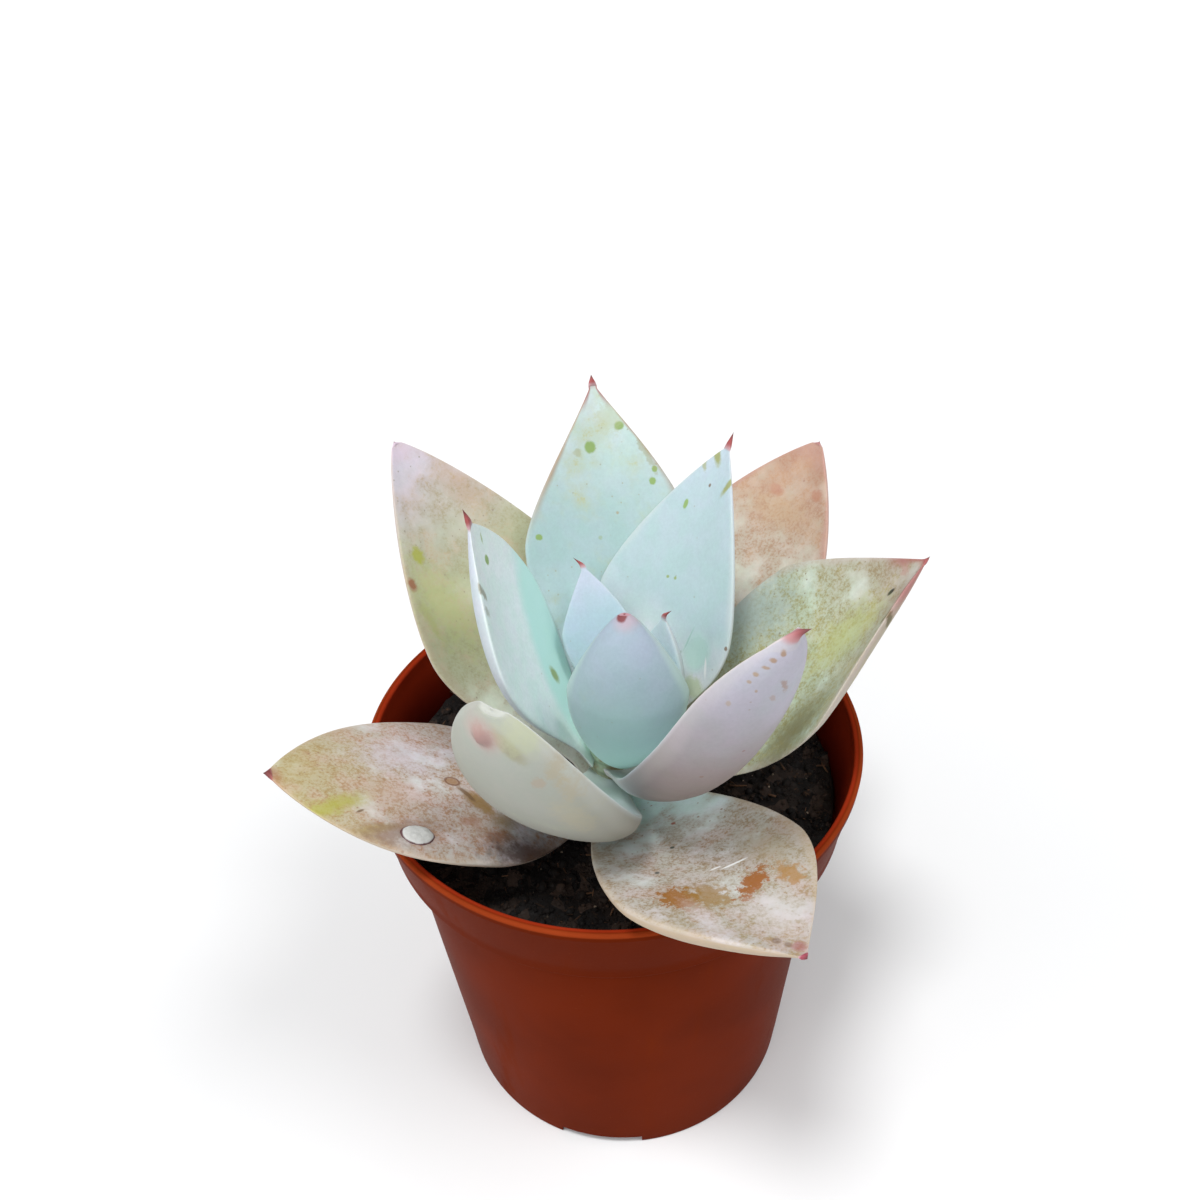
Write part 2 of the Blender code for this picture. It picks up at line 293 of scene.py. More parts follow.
def pores_group() -> bpy.types.NodeTree:
    """Builds the group of small dark dots, each in a cell of its own."""
    density = Plug("Density", value=0.1)
    w, given = new_group("pores", PLACE, density, outputs=(Plug("Dots"),))
    dots = None
    for size, reach in ((1.3 * MM, 0.16), (2.9 * MM, 0.1)):
        cell = w.cells(given["Place"], size)
        tone = w.number("DOT_PRODUCT", cell["Color"], EVEN_TONE)
        chosen = w.math("LESS_THAN", tone, w.math("MULTIPLY_ADD", given["Density"], 0.6, 0.2))
        dot = w.math("MULTIPLY", w.rest(w.step(cell["Distance"], reach * 0.5, reach)), chosen)
        dots = dot if dots is None else w.math("MAXIMUM", dots, dot)
    return w.give(Dots=dots)


def mark_group() -> bpy.types.NodeTree:
    """Builds the group of one mark, an oval with a ragged edge on one face of a leaf, used for
    blemishes and also for painted shadow and light.
    """
    w, given = new_group(
        "leaf_mark",
        PLACE,
        Plug("Grain", value=0.5),
        Plug("Centre", "Vector"),
        Plug("Half", "Vector"),
        Plug("Turn"),
        Plug("Ragged", value=0.3),
        Plug("Soft", value=0.3),
        Plug("Face", value=1.0),
        outputs=(Plug("Mask"), Plug("Rim")),
    )
    away = {
        "Vector": w.vector("SUBTRACT", given["Place"], given["Centre"]),
        "Angle": given["Turn"],
    }
    turned = w.add("ShaderNodeVectorRotate", away, rotation_type="Z_AXIS").outputs[0]
    flat = w.vector("MULTIPLY", turned, LEVEL)
    distance = w.number("LENGTH", w.vector("DIVIDE", flat, given["Half"]))
    shake = w.math("MULTIPLY", w.math("SUBTRACT", given["Grain"], 0.5), given["Ragged"])
    distance = w.math("MULTIPLY_ADD", shake, 4.0, distance)
    side = w.math("MULTIPLY", w.split(given["Place"])["Z"], given["Face"])
    facing = w.step(side, -0.12, 0.04)
    end = w.math("MULTIPLY_ADD", given["Soft"], 0.6, 1.0)
    inside = w.rest(w.step(distance, w.rest(given["Soft"]), end))
    rim = w.math("MULTIPLY", w.step(distance, 0.7, 0.95), w.rest(w.step(distance, 1.05, 1.35)))
    return w.give(Mask=w.math("MULTIPLY", inside, facing), Rim=w.math("MULTIPLY", rim, facing))


def moulded_plastic_group() -> bpy.types.NodeTree:
    """Builds the group of thin moulded plastic: its haze, dust, rubbed marks and fine grain."""
    colours = (Plug("Colour", "Color"), Plug("Dust", "Color"))
    w, given = new_group("moulded_plastic", PLACE, *colours, outputs=SURFACE)
    place = given["Place"]
    haze = w.noise(place, 26 * MM, detail=3.0)
    shaded = w.mix(w.step(haze, 0.3, 0.7), (0.86, 0.84, 0.8), (1.12, 1.1, 1.08))
    colour = w.mix(1.0, given["Colour"], shaded, "MULTIPLY")
    stretched = w.vector("MULTIPLY", place, (1.0, 1.0, 0.16))
    smear = w.step(w.noise(stretched, 9 * MM, detail=5.0, rough=0.65), 0.56, 0.78)
    colour = w.mix(w.math("MULTIPLY", smear, 0.22), colour, given["Dust"])
    speck = w.math("LESS_THAN", w.cells(place, 2.2 * MM)["Distance"], 0.07)
    colour = w.mix(w.math("MULTIPLY", speck, 0.3), colour, given["Dust"])
    grain = w.noise(place, 0.35 * MM, detail=2.0)
    rough = w.lerp(smear, w.lerp(grain, 0.34, 0.46), 0.62)
    height = w.lerp(0.3, grain, w.noise(place, 3.5 * MM, detail=2.0))
    return w.give(Color=colour, Roughness=rough, Height=height)


def peat_group() -> bpy.types.NodeTree:
    """Builds the group of damp peat: black, with crumbs of brown fibre and pale grit."""
    w, given = new_group("peat", PLACE, Plug("Brown", value=0.3), outputs=SURFACE)
    place = given["Place"]
    tone = w.number("DOT_PRODUCT", w.cells(place, 2.4 * MM)["Color"], EVEN_TONE)
    colour = w.mix(w.step(tone, 0.45, 0.85), (0.0072, 0.0058, 0.0054), (0.056, 0.036, 0.027))
    fine = w.noise(place, 0.9 * MM, detail=5.0, rough=0.7)
    brown = w.math("MULTIPLY", w.step(fine, 0.56, 0.72), given["Brown"])
    colour = w.mix(brown, colour, (0.11, 0.058, 0.032))
    rough = w.lerp(w.step(fine, 0.35, 0.6), 0.62, 0.95)
    return w.give(Color=colour, Roughness=rough, Height=fine)


class Effects:
    """The node groups that materials share, each built once."""

    def __init__(self) -> None:
        """Builds the groups."""
        self.foot_to_tip = along_leaf_group()
        self.bloom_wear = bloom_wear_group()
        self.pores = pores_group()
        self.mark = mark_group()
        self.plastic = moulded_plastic_group()
        self.peat = peat_group()


# ---- Meshes ----


def ring_faces(rings: int, segments: int, first_pole: int, last_pole: int) -> list[tuple[int, ...]]:
    """Joins rings of points, each to the next, and closes the first and last with a pole.

    Args:
        rings: How many rings there are.
        segments: How many points each has.
        first_pole: The index of the point that closes the first ring.
        last_pole: The index of the point that closes the last ring.

    Returns:
        The faces.
    """
    faces = []
    for j in range(segments):
        k = (j + 1) % segments
        faces.append((first_pole, k, j))
        for ring in range(rings - 1):
            low, high = ring * segments, (ring + 1) * segments
            faces.append((low + j, low + k, high + k, high + j))
        last = (rings - 1) * segments
        faces.append((last + j, last + k, last_pole))
    return faces


def make_piece(
    name: str,
    points: list | np.ndarray,
    faces: list[tuple[int, ...]],
    material: bpy.types.Material,
    sharp: float = 60.0,
) -> bpy.types.Object:
    """Makes a smooth-shaded piece.

    Args:
        name: The piece's name.
        points: Its points, in metres.
        faces: Its faces.
        material: Its material.
        sharp: The angle in degrees past which an edge stays sharp.

    Returns:
        The piece.
    """
    mesh = bpy.data.meshes.new(name)
    mesh.from_pydata([tuple(point) for point in points], [], faces)
    mesh.validate()
    mesh.shade_smooth()
    mesh.set_sharp_from_angle(angle=radians(sharp))
    mesh.materials.append(material)
    piece = bpy.data.objects.new(name, mesh)
    bpy.context.scene.collection.objects.link(piece)
    return piece


def turned_piece(
    name: str,
    profile: list[Spread],
    segments: int,
    material: bpy.types.Material,
    shift: Callable[[Vector], Vector],
    sharp: float = 60.0,
) -> bpy.types.Object:
    """Turns a profile about Z, from a pole below to a pole above.

    Args:
        name: The piece's name.
        profile: Its (radius, height) points; the first and last lie on the axis.
        segments: How many points go round.
        material: The piece's material.
        shift: A function that moves a point.
        sharp: The angle in degrees past which an edge stays sharp.

    Returns:
        The piece.
    """
    angles = [tau * j / segments for j in range(segments)]
    points = [Vector((r * cos(a), r * sin(a), z)) for r, z in profile[1:-1] for a in angles]
    points = [shift(point) for point in points]
    poles = [Vector((0.0, 0.0, profile[0][1])), shift(Vector((0.0, 0.0, profile[-1][1])))]
    faces = ring_faces(len(profile) - 2, segments, len(points), len(points) + 1)
    return make_piece(name, points + poles, faces, material, sharp)


def settle(piece: bpy.types.Object, slot: Slot, *nodes: str) -> bpy.types.Object:
    """Rides a finished piece on the body, hides the CAD nodes that it stands for, and reports it.

    Args:
        piece: The piece.
        slot: The slot that its finish comes from; not used.
        nodes: The CAD nodes that it stands for.

    Returns:
        The piece.
    """
    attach(piece, BODY)
    if nodes:
        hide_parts(*nodes)
    stands_for = ", ".join(nodes) if nodes else "detail"
    log.info("%s: %d faces, %s", piece.name, len(piece.data.polygons), stands_for)
    return piece


# ---- Leaves ----


@dataclass(frozen=True)
class LeafShape:
    """A leaf's shape: lengths in millimetres and angles in degrees."""

    azimuth: float
    foot_z: float
    length: float
    rise: Spread  # the midrib's slope at the foot and at the tip
    sweep: float  # how far the midrib turns sideways by the tip, towards +azimuth
    roll: Spread  # the blade's roll at the foot, and what is added by the tip
    half_width: float
    widest: float  # share of the length
    taper: Spread  # the outline past the widest place is (1 - x ** a) ** b
    belly: float  # depth of the lower face at the widest place
    cup: float  # how far the margins stand above the midrib, as a share of the half width
    spike: float  # length of the pointed tip
    hook: float = 0.0  # how far the spike bends towards the lower face


@dataclass(frozen=True)
class Relief:
    """The small relief of a leaf, in millimetres."""

    groove: float = 0.25  # depth of the hollow down the middle of the upper face
    keel: float = 0.5  # how far the lower face's middle line stands proud
    ripple: float = 0.22  # height of the slow waves over both faces
    pitting: float = 0.03  # height of the fine unevenness
    thick_margin: float = 0.78  # 1 is a knife edge; less is a rounder margin
    spike_radius: float = 0.7
    lean: float = 0.0  # how far the spike leans towards the side, in degrees
    droop: float = 0.0  # how far the blade's end bends towards the lower face
    fold: tuple[float, float, float] | None = None  # its place at the foot, slant and slope


@dataclass(frozen=True)
class Dent:
    """A hollow, or with a negative depth a swelling, on a leaf; in millimetres."""

    along: float
    across: float
    radius: Spread
    depth: float
    face: Face = Face.UPPER


@dataclass(frozen=True)
class Mark:
    """A patch on a leaf, most often a blemish, some painted shadow and painted light: places and
    sizes in millimetres, the turn in degrees.
    """

    along: float
    across: float
    half_across: float
    half_along: float
    colour: Colour
    strength: float = 0.85
    turn: float = 0.0
    ragged: float = 0.5
    soft: float = 0.45
    wet: bool = False
    rim: Colour | None = None
    face: Face = Face.UPPER


def marks(*rows: tuple, face: Face = Face.UPPER) -> tuple[Mark, ...]:
    """Returns the marks on one face of a leaf, blemishes and painted shadow and light, from rows of
    a mark's values in order.
    """
    return tuple(Mark(*row, face=face) for row in rows)


@dataclass(frozen=True)
class LeafFinish:
    """How a leaf is coloured, each triple from its foot over its middle to its tip."""

    bloom: tuple[Colour, Colour, Colour]
    bare: tuple[Colour, Colour, Colour]
    wear: tuple[float, float, float]
    under: tuple[Colour, Colour, Colour]
    under_wear: float = 0.1
    pores: float = 0.08
    pore_colour: Colour = (0.2, 0.17, 0.07)
    margin: Colour = (0.62, 0.72, 0.70)
    margin_strength: float = 0.25
    margin_from: float = -1.0  # the share of the length where the margin's colour starts
    stain: Colour = (0.5, 0.3, 0.2)
    stain_strength: float = 0.0
    tip: Colour = (0.36, 0.085, 0.085)
    blush: float = 0.93  # the share of the length where the tip's blush starts
    blush_strength: float = 0.35
    blush_colour: Colour = (0.60, 0.40, 0.43)
    spike_end: Colour = (0.09, 0.035, 0.035)
    red_from: float = 0.04  # how far up the spike its red starts
    red_edge: float = 0.0  # how strongly the red runs back along the margins
    flush: float = 0.21  # how much of the blush colour is in the whole skin


LEAF_FOOT_RADIUS = 4.8
LEAF_FOOT_SHARE = 0.3  # the outline's half width at the foot, over the widest
LEAF_UPPER_SWELL = 1.1
LEAF_ROOTING = 3.4  # how far a leaf goes on into the stem, in millimetres
RIB_WIDTH = 0.22  # of the groove and the keel, as a share of the half width
WAVES = 60.0  # slow waves to a metre
PITS = 900.0  # fine bumps to a metre
BLADE_END = 0.985  # the share of the length where the spike starts
DROOP_FROM = 0.8
STATION_EASE = 1.5  # sets the stations closer towards the tip
STATIONS = 96
ROOT_STATIONS = 4
SPIKE_STATIONS = 16
RING_POINTS = 64


class Leaf:
    """One leaf, as a closed mesh with its own material."""

    def __init__(
        self,
        node: str,
        slot: Slot,
        shape: LeafShape,
        finish: LeafFinish,
        marks: tuple[Mark, ...] = (),
        dents: tuple[Dent, ...] = (),
        relief: Relief = Relief(),
    ) -> None:
        """Keeps what the leaf is made from.

        Args:
            node: The CAD node that it stands for.
            slot: The record's material slot.
            shape: Its shape.
            finish: Its colours.
            marks: Its blemishes, and its patches of painted shadow and painted light.
            dents: Its hollows and swellings.
            relief: Its small relief.
        """
        self.node = node
        self.slot = slot
        self.shape = shape
        self.finish = finish
        self.marks = marks
        self.dents = dents
        self.relief = relief

    def heading(self, share: float) -> Vector:
        """Returns the midrib's direction at a share of its length."""
        share = max(share, 0.0)
        slope = radians(self.shape.rise[0] + (self.shape.rise[1] - self.shape.rise[0]) * share)
        turned = radians(self.shape.azimuth + self.shape.sweep * share)
        return Vector((cos(slope) * cos(turned), cos(slope) * sin(turned), sin(slope)))

    def walk(self, shares: list[float]) -> list[tuple[Vector, Vector, Vector, Vector]]:
        """Walks the midrib.

        Args:
            shares: The shares of the length to stop at, in order; those below 0 lie in the stem.

        Returns:
            The point, tangent, side and upper normal at each share, in metres.
        """
        azimuth, length = radians(self.shape.azimuth), self.shape.length
        x, y = LEAF_FOOT_RADIUS * cos(azimuth), LEAF_FOOT_RADIUS * sin(azimuth)
        foot = Vector((x, y, self.shape.foot_z))
        point, before, fine = foot * MM, 0.0, 4
        frames = []
        for share in shares:
            if share <= 0:
                here = foot * MM + self.heading(0.0) * (share * length * MM)
            else:
                for i in range(fine):
                    middle = before + (share - before) * (i + 0.5) / fine
                    point = point + self.heading(middle) * ((share - before) / fine * length * MM)
                before, here = share, point
            tangent = self.heading(share)
            turned = radians(self.shape.azimuth + self.shape.sweep * max(share, 0.0))
            side = Vector((-sin(turned), cos(turned), 0.0))
            normal = tangent.cross(side)
            roll = radians(self.shape.roll[0] + self.shape.roll[1] * max(share, 0.0))
            rolled_side = side * cos(roll) + normal * sin(roll)
            rolled_normal = normal * cos(roll) - side * sin(roll)
            ease = max(0.0, (share - DROOP_FROM) / (BLADE_END - DROOP_FROM)) ** 2
            bent = here - rolled_normal * (self.relief.droop * MM * ease)
            frames.append((bent, tangent, rolled_side, rolled_normal))
        return frames

    def outline(self, share: float) -> float:
        """Returns the half width at a share of the length, over the widest half width."""
        shape = self.shape
        if share < shape.widest:
            opening = sin(pi / 2 * max(share, 0.0) / shape.widest) ** 1.3
            return LEAF_FOOT_SHARE + (1 - LEAF_FOOT_SHARE) * opening
        past = (share - shape.widest) / (1 - shape.widest)
        return (1 - past ** shape.taper[0]) ** shape.taper[1]

    def swell(self, share: float, width: float) -> float:
        """Returns the thickness at a share of the length, over that at the widest place."""
        return (width / self.shape.half_width) ** 0.8 * (1 - 0.15 * max(share, 0.0))

    def section(self, share: float, width: float) -> list[tuple[float, float, float]]:
        """Returns the blade's section.

        Args:
            share: The share of the length.
            width: The half width there, in millimetres.

        Returns:
            For each point round it, how far it lies across and up, in millimetres, and its side:
            1 in the middle of the upper face, -1 in that of the lower one, and 0 on a margin.
        """
        shape, relief = self.shape, self.relief
        swell = self.swell(share, width)
        section = []
        for j in range(RING_POINTS):
            angle = tau * j / RING_POINTS
            c, s = cos(angle), sin(angle)
            across = width * (abs(c) ** relief.thick_margin) * (1 if c >= 0 else -1)
            up = (abs(s) ** relief.thick_margin) * (1 if s >= 0 else -1)
            out = across / width
            height = up * (LEAF_UPPER_SWELL if up > 0 else shape.belly) * swell
            height += shape.cup * width * out**2
            if relief.fold:
                past = relief.fold[0] + relief.fold[1] * share * shape.length - across
                height -= relief.fold[2] * (past + (past**2 + 1.0) ** 0.5) / 2
            middle = np.exp(-((out / RIB_WIDTH) ** 2)) * abs(up)
            height -= middle * swell * (relief.groove if up > 0 else relief.keel)
            for dent in self.dents:
                if dent.face.value * up > 0:
                    far = ((share * shape.length - dent.along) / dent.radius[1]) ** 2
                    far += ((across - dent.across) / dent.radius[0]) ** 2
                    height -= dent.face.value * dent.depth * np.exp(-far) * min(abs(up) * 2, 1.0)
            section.append((across, float(height), up))
        return section

    def blade(self) -> tuple[list[Vector], list[tuple], list[tuple]]:
        """Builds the blade's rings and the spike's.

        Returns:
            The points, and for each point its place (across in mm, along in mm, side) and its
            shares (along, nearness to the margin, how far up the spike).
        """
        shape, relief = self.shape, self.relief
        back = LEAF_ROOTING / shape.length
        shares = [-back * (1 - i / ROOT_STATIONS) for i in range(ROOT_STATIONS)]
        last = STATIONS - 1
        shares += [BLADE_END * (1 - (1 - i / last) ** STATION_EASE) for i in range(STATIONS)]
        frames = self.walk(shares)
        points, places, levels = [], [], []
        for share, (centre, _, side, normal) in zip(shares, frames):
            width = max(self.outline(share) * shape.half_width, relief.spike_radius)
            for across, up, facing in self.section(share, width):
                point = centre + side * (across * MM) + normal * (up * MM)
                wave = noise.noise(point * WAVES + Vector((shape.azimuth, 0, 0))) * relief.ripple
                wave += noise.noise(point * PITS) * relief.pitting
                calm = min(1.0, abs(facing) * 1.5) * (1 if facing >= 0 else -1)
                points.append(point + normal * (wave * calm * MM * min(1.0, width / 4)))
                places.append((across, share * shape.length, facing))
                levels.append((max(share, 0.0), abs(across) / width, 0.0))
        self.add_spike(frames[-1], width, points, places, levels)
        return points, places, levels

    def add_spike(
        self, end: tuple, width: float, points: list[Vector], places: list, levels: list
    ) -> None:
        """Adds the rings of the spike, which runs on smoothly from the blade, and its end point.

        Args:
            end: The midrib's frame at the blade's end.
            width: The blade's half width there, in millimetres.
            points: The points so far.
            places: The places so far.
            levels: The shares so far.
        """
        shape, relief = self.shape, self.relief
        centre, tangent, side, normal = end
        last_ring = self.section(BLADE_END, width)
        for i in range(1, SPIKE_STATIONS + 1):
            t = i / SPIKE_STATIONS
            bend = radians(shape.hook) * min(1.0, 1.5 * (t - 0.5 / SPIKE_STATIONS))
            lean = radians(relief.lean) * min(1.0, 2 * t)
            ahead = (tangent * cos(bend) - normal * sin(bend)) * cos(lean) + side * sin(lean)
            over = normal * cos(bend) + tangent * sin(bend)
            centre = centre + ahead * (shape.spike * MM / SPIKE_STATIONS)
            along = (BLADE_END + (1 - BLADE_END) * t) * shape.length
            if i == SPIKE_STATIONS:
                points.append(centre)
                places.append((0.0, along, 0.0))
                levels.append((1.0, 1.0, 1.0))
                break
            radius = relief.spike_radius * (1 - t) ** 1.05
            slim = (1 - t) ** 2.6
            for j, (across, up, facing) in enumerate(last_ring):
                angle = tau * j / RING_POINTS
                x = across * slim + radius * cos(angle) * (1 - slim)
                y = up * slim + radius * sin(angle) * (1 - slim)
                points.append(centre + side * (x * MM) + over * (y * MM))
                places.append((x, along, facing))
                levels.append((1.0, 1.0, t))

    def material(self, effects: Effects) -> bpy.types.Material:
        """Builds the leaf's material: bloom, the bare skin where it is rubbed off, dots and marks.

        Args:
            effects: The shared node groups.

        Returns:
            The material.
        """
        look = self.finish
        w = Finish(f"{self.node}_skin", 0.55, 0.3)
        w.put(w.shader["Subsurface Weight"], 0.1)
        w.put(w.shader["Subsurface Radius"], (1.0, 0.9, 0.6))
        w.put(w.shader["Subsurface Scale"], 1.2 * MM)
        body, place = w.place, w.attribute("leaf_place")
        shares = w.split(w.attribute("leaf_share"))
        upper = w.step(w.split(place)["Z"], -0.15, 0.1)
        slow = w.math("SUBTRACT", w.noise(body, 13 * MM, detail=2.0), 0.5)
        along = w.math("MULTIPLY_ADD", slow, 0.25, shares["X"])

        def run(three: tuple) -> Socket:
            group, (foot, middle, tip) = effects.foot_to_tip, three
            return w.use(group, Along=along, Foot=foot, Middle=middle, Tip=tip)["Color"]

        wear = w.lerp(upper, look.under_wear, run(tuple((v, v, v) for v in look.wear)))
        worn = w.use(effects.bloom_wear, Place=body, Wear=wear)
        bloom = w.mix(upper, run(look.under), run(look.bloom))
        tone = w.step(w.noise(body, 4 * MM, detail=3.0), 0.3, 0.7)
        tint = w.mix(tone, (0.95, 1.0, 0.97), (1.05, 1.0, 1.03))
        bloom = w.mix(1.0, bloom, tint, "MULTIPLY")
        powder = w.mix(w.step(worn["Grain"], 0.3, 0.7), (0.94, 0.94, 0.95), (1.06, 1.06, 1.05))
        bloom = w.mix(1.0, bloom, powder, "MULTIPLY")
        bare = run(look.bare)
        if look.stain_strength:
            stain = w.step(w.noise(body, 8 * MM, detail=5.0, rough=0.65), 0.48, 0.62)
            bare = w.mix(w.math("MULTIPLY", stain, look.stain_strength), bare, look.stain)
        colour = w.mix(worn["Bare"], bloom, bare)
        dots = w.use(effects.pores, Place=body, Density=look.pores)["Dots"]
        dots = w.math("MULTIPLY", dots, min(0.8, 0.3 + look.pores))
        colour = w.mix(dots, colour, look.pore_colour)
        near = w.step(w.math("MULTIPLY_ADD", slow, 0.25, shares["Y"]), 0.88, 1.0)
        reach = w.step(along, look.margin_from, look.margin_from + 0.3)
        near = w.math("MULTIPLY", near, w.math("MULTIPLY", reach, look.margin_strength))
        colour = w.mix(near, colour, look.margin)
        colour = w.mix(look.flush, colour, look.blush_colour)
        grain = w.lerp(0.45, w.noise(body, 1.3 * MM, detail=4.0, rough=0.7), worn["Grain"])
        rough = w.lerp(worn["Bare"], 0.62, 0.45)
        for mark in self.marks:
            spot = w.use(
                effects.mark,
                Place=place,
                Grain=grain,
                Centre=(mark.across, mark.along, 0.0),
                Half=(mark.half_across, mark.half_along, 1.0),
                Turn=radians(mark.turn),
                Ragged=mark.ragged,
                Soft=mark.soft,
                Face=mark.face.value,
            )
            colour = w.mix(w.math("MULTIPLY", spot["Mask"], mark.strength), colour, mark.colour)
            if mark.rim:
                colour = w.mix(w.math("MULTIPLY", spot["Rim"], mark.strength), colour, mark.rim)
            if mark.wet:
                rough = w.lerp(spot["Mask"], rough, 0.12)
        glow = w.math("MULTIPLY", w.step(along, look.blush, 1.0), look.blush_strength)
        colour = w.mix(glow, colour, look.blush_colour)
        if look.red_edge:
            edge = w.step(shares["X"], look.blush - 0.07, look.blush)
            edge = w.math("MULTIPLY", edge, w.step(shares["Y"], 0.5, 0.9))
            colour = w.mix(w.math("MULTIPLY", edge, look.red_edge), colour, look.tip)
        spike, red = shares["Z"], look.red_from
        colour = w.mix(w.step(spike, max(0.0, red - 0.1), red + 0.1), colour, look.blush_colour)
        colour = w.mix(w.step(spike, red, red + 0.38), colour, look.tip)
        colour = w.mix(w.math("MULTIPLY", w.step(spike, 0.5, 0.9), 0.75), colour, look.spike_end)
        w.bump(w.lerp(0.3, worn["Height"], grain), 0.1 * MM, 0.3)
        return w.dress(colour, rough)

    def build(self, effects: Effects) -> bpy.types.Object:
        """Builds the leaf.

        Args:
            effects: The shared node groups.

        Returns:
            The finished piece.
        """
        points, places, shares = self.blade()
        rings = (len(points) - 1) // RING_POINTS
        foot = sum(points[:RING_POINTS], Vector()) / RING_POINTS
        faces = ring_faces(rings, RING_POINTS, len(points), len(points) - 1)
        skin = self.material(effects)
        piece = make_piece(f"{self.node}_blade", points + [foot], faces, skin, 75.0)
        places.append((0.0, places[0][1], 0.0))
        shares.append((0.0, 0.0, 0.0))
        for name, values in (("leaf_place", places), ("leaf_share", shares)):
            layer = piece.data.attributes.new(name, "FLOAT_VECTOR", "POINT")
            layer.data.foreach_set("vector", np.array(values, dtype=np.float32).ravel())
        return settle(piece, self.slot, self.node)


AQUA: Colour = (0.50, 0.70, 0.68)
MINT: Colour = (0.47, 0.70, 0.61)
SKY: Colour = (0.56, 0.74, 0.82)
LILAC_BLUE: Colour = (0.63, 0.74, 0.86)
PALE: Colour = (0.70, 0.75, 0.74)
OLIVE: Colour = (0.29, 0.37, 0.09)
YELLOW_GREEN: Colour = (0.46, 0.53, 0.19)
OCHRE: Colour = (0.42, 0.30, 0.12)
# Painted reflection: the warm foot of a young leaf's lower face stands in for light thrown up from
# the pot and soil.
BOUNCE_TAN: Colour = (0.56, 0.55, 0.47)
BROWN: Colour = (0.17, 0.09, 0.04)
WHITE: Colour = (0.85, 0.86, 0.86)
BLACK: Colour = (0.01, 0.01, 0.008)
SCAR_RIM: Colour = (0.20, 0.09, 0.05)
GREEN_SPOT = ((0.26, 0.40, 0.10), 0.9, 0, 0.22, 0.3)  # a mark's values from its colour on
LILAC_SPOT = ((0.62, 0.58, 0.66), 0.5, 0, 1.0, 0.9)


def inner_finish(
    at_foot: Colour,
    in_middle: Colour,
    at_tip: Colour,
    under: tuple[Colour, Colour, Colour] = (BOUNCE_TAN, SKY, LILAC_BLUE),
    **more: object,
) -> LeafFinish:
    """Returns the finish of a young leaf, whose bloom is whole.

    Args:
        at_foot: The bloom's colour at the foot.
        in_middle: The bloom's colour in the middle.
        at_tip: The bloom's colour by the tip.
        under: The lower face's three colours.
        more: Other values of the finish.

    Returns:
        The finish.
    """
    values = {"wear": (0.02, 0.02, 0.06), "pores": 0.05}
    values.update(more)
    return LeafFinish(
        bloom=(at_foot, in_middle, at_tip),
        bare=(OLIVE, YELLOW_GREEN, YELLOW_GREEN),
        under=under,
        **values,
    )


def old_leaf(number: int, shape: LeafShape, finish: LeafFinish, **more: object) -> Leaf:
    """Returns an outer leaf by its number."""
    return Leaf(f"leaf_{number:02d}", Slot.OUTER_LEAF, shape, finish, **more)


def young_leaf(number: int, shape: LeafShape, finish: LeafFinish, **more: object) -> Leaf:
    """Returns an inner leaf by its number."""
    return Leaf(f"leaf_{number:02d}", Slot.INNER_LEAF, shape, finish, **more)


def bud_leaves() -> list[Leaf]:
    """Returns the two bud leaves and the two young leaves round them."""
    small = Relief(groove=0.1, keel=0.15, ripple=0.05, pitting=0.01, spike_radius=0.4)
    young = Relief(groove=0.15, keel=0.3, ripple=0.1, pitting=0.02, spike_radius=0.5)
    blue_mint = ((0.4, 0.6, 0.54), (0.42, 0.61, 0.63), (0.48, 0.62, 0.68))
    bud = inner_finish(*blue_mint, under=blue_mint)
    # azimuth, foot_z, length, rise, sweep, roll, half_width, widest, taper, belly, cup, spike, hook
    bud_one = LeafShape(71, 82.0, 9.0, (77, 92), 0, (2, 0), 3.4, 0.58, (2.2, 0.85), 1.6, 0.12, 1.0)
    bud_two = LeafShape(
        228, 80.4, 12.0, (72, 92), 0, (0, 0), 3.4, 0.58, (2.2, 0.85), 1.8, 0.12, 1.0
    )
    side_leaf = LeafShape(
        -1, 79.6, 24.5, (67, 93), -8, (50, 0), 5.0, 0.54, (1.5, 0.95), 2.2, 0.06, 2.8, 20
    )
    back_leaf = LeafShape(
        97, 80.4, 24.4, (60, 49), 11, (-4, -4), 6.2, 0.54, (1.3, 1.0), 2.4, 0.16, 2.8, -15
    )
    back_finish = inner_finish(
        (0.36, 0.58, 0.55), (0.37, 0.6, 0.69), (0.48, 0.62, 0.74), under=blue_mint, blush=0.97,
    )
    side_finish = inner_finish(
        (0.54, 0.8, 0.74), (0.6, 0.88, 0.9), (0.62, 0.8, 0.86), under=blue_mint, blush=0.98,
    )
    return [
        young_leaf(1, bud_one, bud, relief=small),
        young_leaf(2, bud_two, bud, relief=small),
        young_leaf(3, side_leaf, side_finish, relief=replace(young, lean=-45.0)),
        young_leaf(4, back_leaf, back_finish, relief=replace(young, lean=40.0)),
    ]


